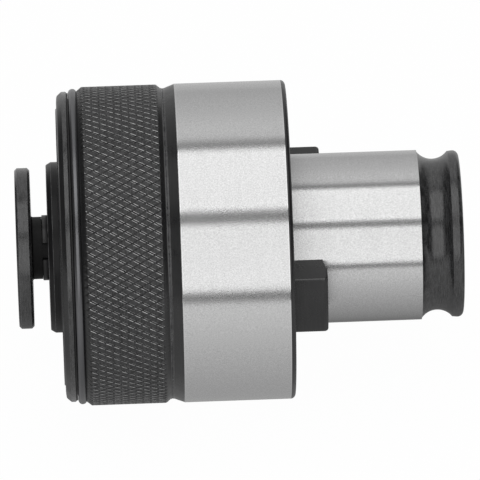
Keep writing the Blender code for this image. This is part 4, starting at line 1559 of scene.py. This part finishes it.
def makeRoom():
    # the room's greys for light and reflections, and white to the camera
    world = bpy.data.worlds.new("room")
    bpy.context.scene.world = world
    world.use_nodes = True
    tree = world.node_tree
    tree.nodes.clear()
    placeX, placeY, placeZ = splitPlace(tree, placeFrom(tree, "Generated"))
    angle = calculate(tree, "ARCTAN2", placeZ, calculate(tree, "MULTIPLY", placeY, -1.0))
    wrapped = calculate(tree, "FLOORED_MODULO", angle, math.tau)
    ramp = addNode(tree, "ShaderNodeValToRGB")
    feed(tree, ramp, {0: calculate(tree, "MULTIPLY", wrapped, 1.0 / math.tau)})
    stops = ramp.color_ramp.elements
    while len(stops) > 1:
        stops.remove(stops[-1])
    for i, (degrees, level) in enumerate(studio["room"]):
        stop = stops[0] if i == 0 else stops.new(degrees / 360.0)
        stop.position = degrees / 360.0
        stop.color = (level, level, level, 1.0)
    sideways = spanOf(tree, calculate(tree, "ABSOLUTE", placeX), studio["sideSpan"])
    room = mixColour(tree, sideways, ramp.outputs["Color"], studio["sideLevel"])
    grey = addNode(tree, "ShaderNodeBackground")
    feed(tree, grey, {"Color": room})
    white = addNode(tree, "ShaderNodeBackground")
    feed(tree, white, {"Color": (1.0, 1.0, 1.0)})
    toCamera = addNode(tree, "ShaderNodeLightPath").outputs["Is Camera Ray"]
    mixShaders(tree, toCamera, grey.outputs[0], white.outputs[0], "ShaderNodeOutputWorld")


def addSoftbox(name, fromDeg, toDeg, level):
    # a long softbox across the view that fills these angles as the tool sees them
    distance = studio["boxDistance"]
    middle = math.radians((fromDeg + toDeg) / 2)
    half = math.radians((toDeg - fromDeg) / 2)
    light = bpy.data.lights.new(name, "AREA")
    light.shape = "RECTANGLE"
    light.size = studio["boxRight"] - studio["boxLeft"]
    light.size_y = 2 * distance * math.tan(half)
    light.energy = level * math.pi * light.size * light.size_y
    obj = addObject(name, light)
    outwards = Vector((0.0, -math.cos(middle), math.sin(middle)))
    obj.location = outwards * distance
    obj.location.x = (studio["boxRight"] + studio["boxLeft"]) / 2
    alongX = Vector((1.0, 0.0, 0.0))
    basis = Matrix((alongX, outwards.cross(alongX), outwards)).transposed()
    obj.rotation_euler = basis.to_euler()
    obj.visible_camera = False


def makeCamera():
    values = photoView
    elevation = math.radians(values["elevation"])
    azimuth = math.radians(values["azimuth"])
    camera = bpy.data.cameras.new("camera")
    camera.sensor_width = values["sensorWidth"]
    camera.lens = camera.sensor_width * values["distance"] / values["viewWidth"]
    camera.clip_start, camera.clip_end = values["clip"]
    obj = addObject("camera", camera)
    flat = math.cos(elevation)
    back = Vector((math.sin(azimuth) * flat, -math.cos(azimuth) * flat, math.sin(elevation)))
    obj.location = back * values["distance"]
    aim = back.to_track_quat("Z", "Y").to_matrix()
    obj.location += aim @ Vector((values["aimRight"], values["aimUp"], 0.0))
    obj.rotation_euler = (aim @ Matrix.Rotation(-math.radians(values["roll"]), 3, "Z")).to_euler()
    bpy.context.scene.camera = obj


makeTable()
makeRoom()
addSoftbox("overheadBox", studio["overheadFrom"], studio["overheadTo"], studio["overheadLevel"])
addSoftbox("frontBox", studio["frontFrom"], studio["frontTo"], studio["frontLevel"])
makeCamera()
bpy.context.scene.view_settings.view_transform = "Standard"
print("studio ready")
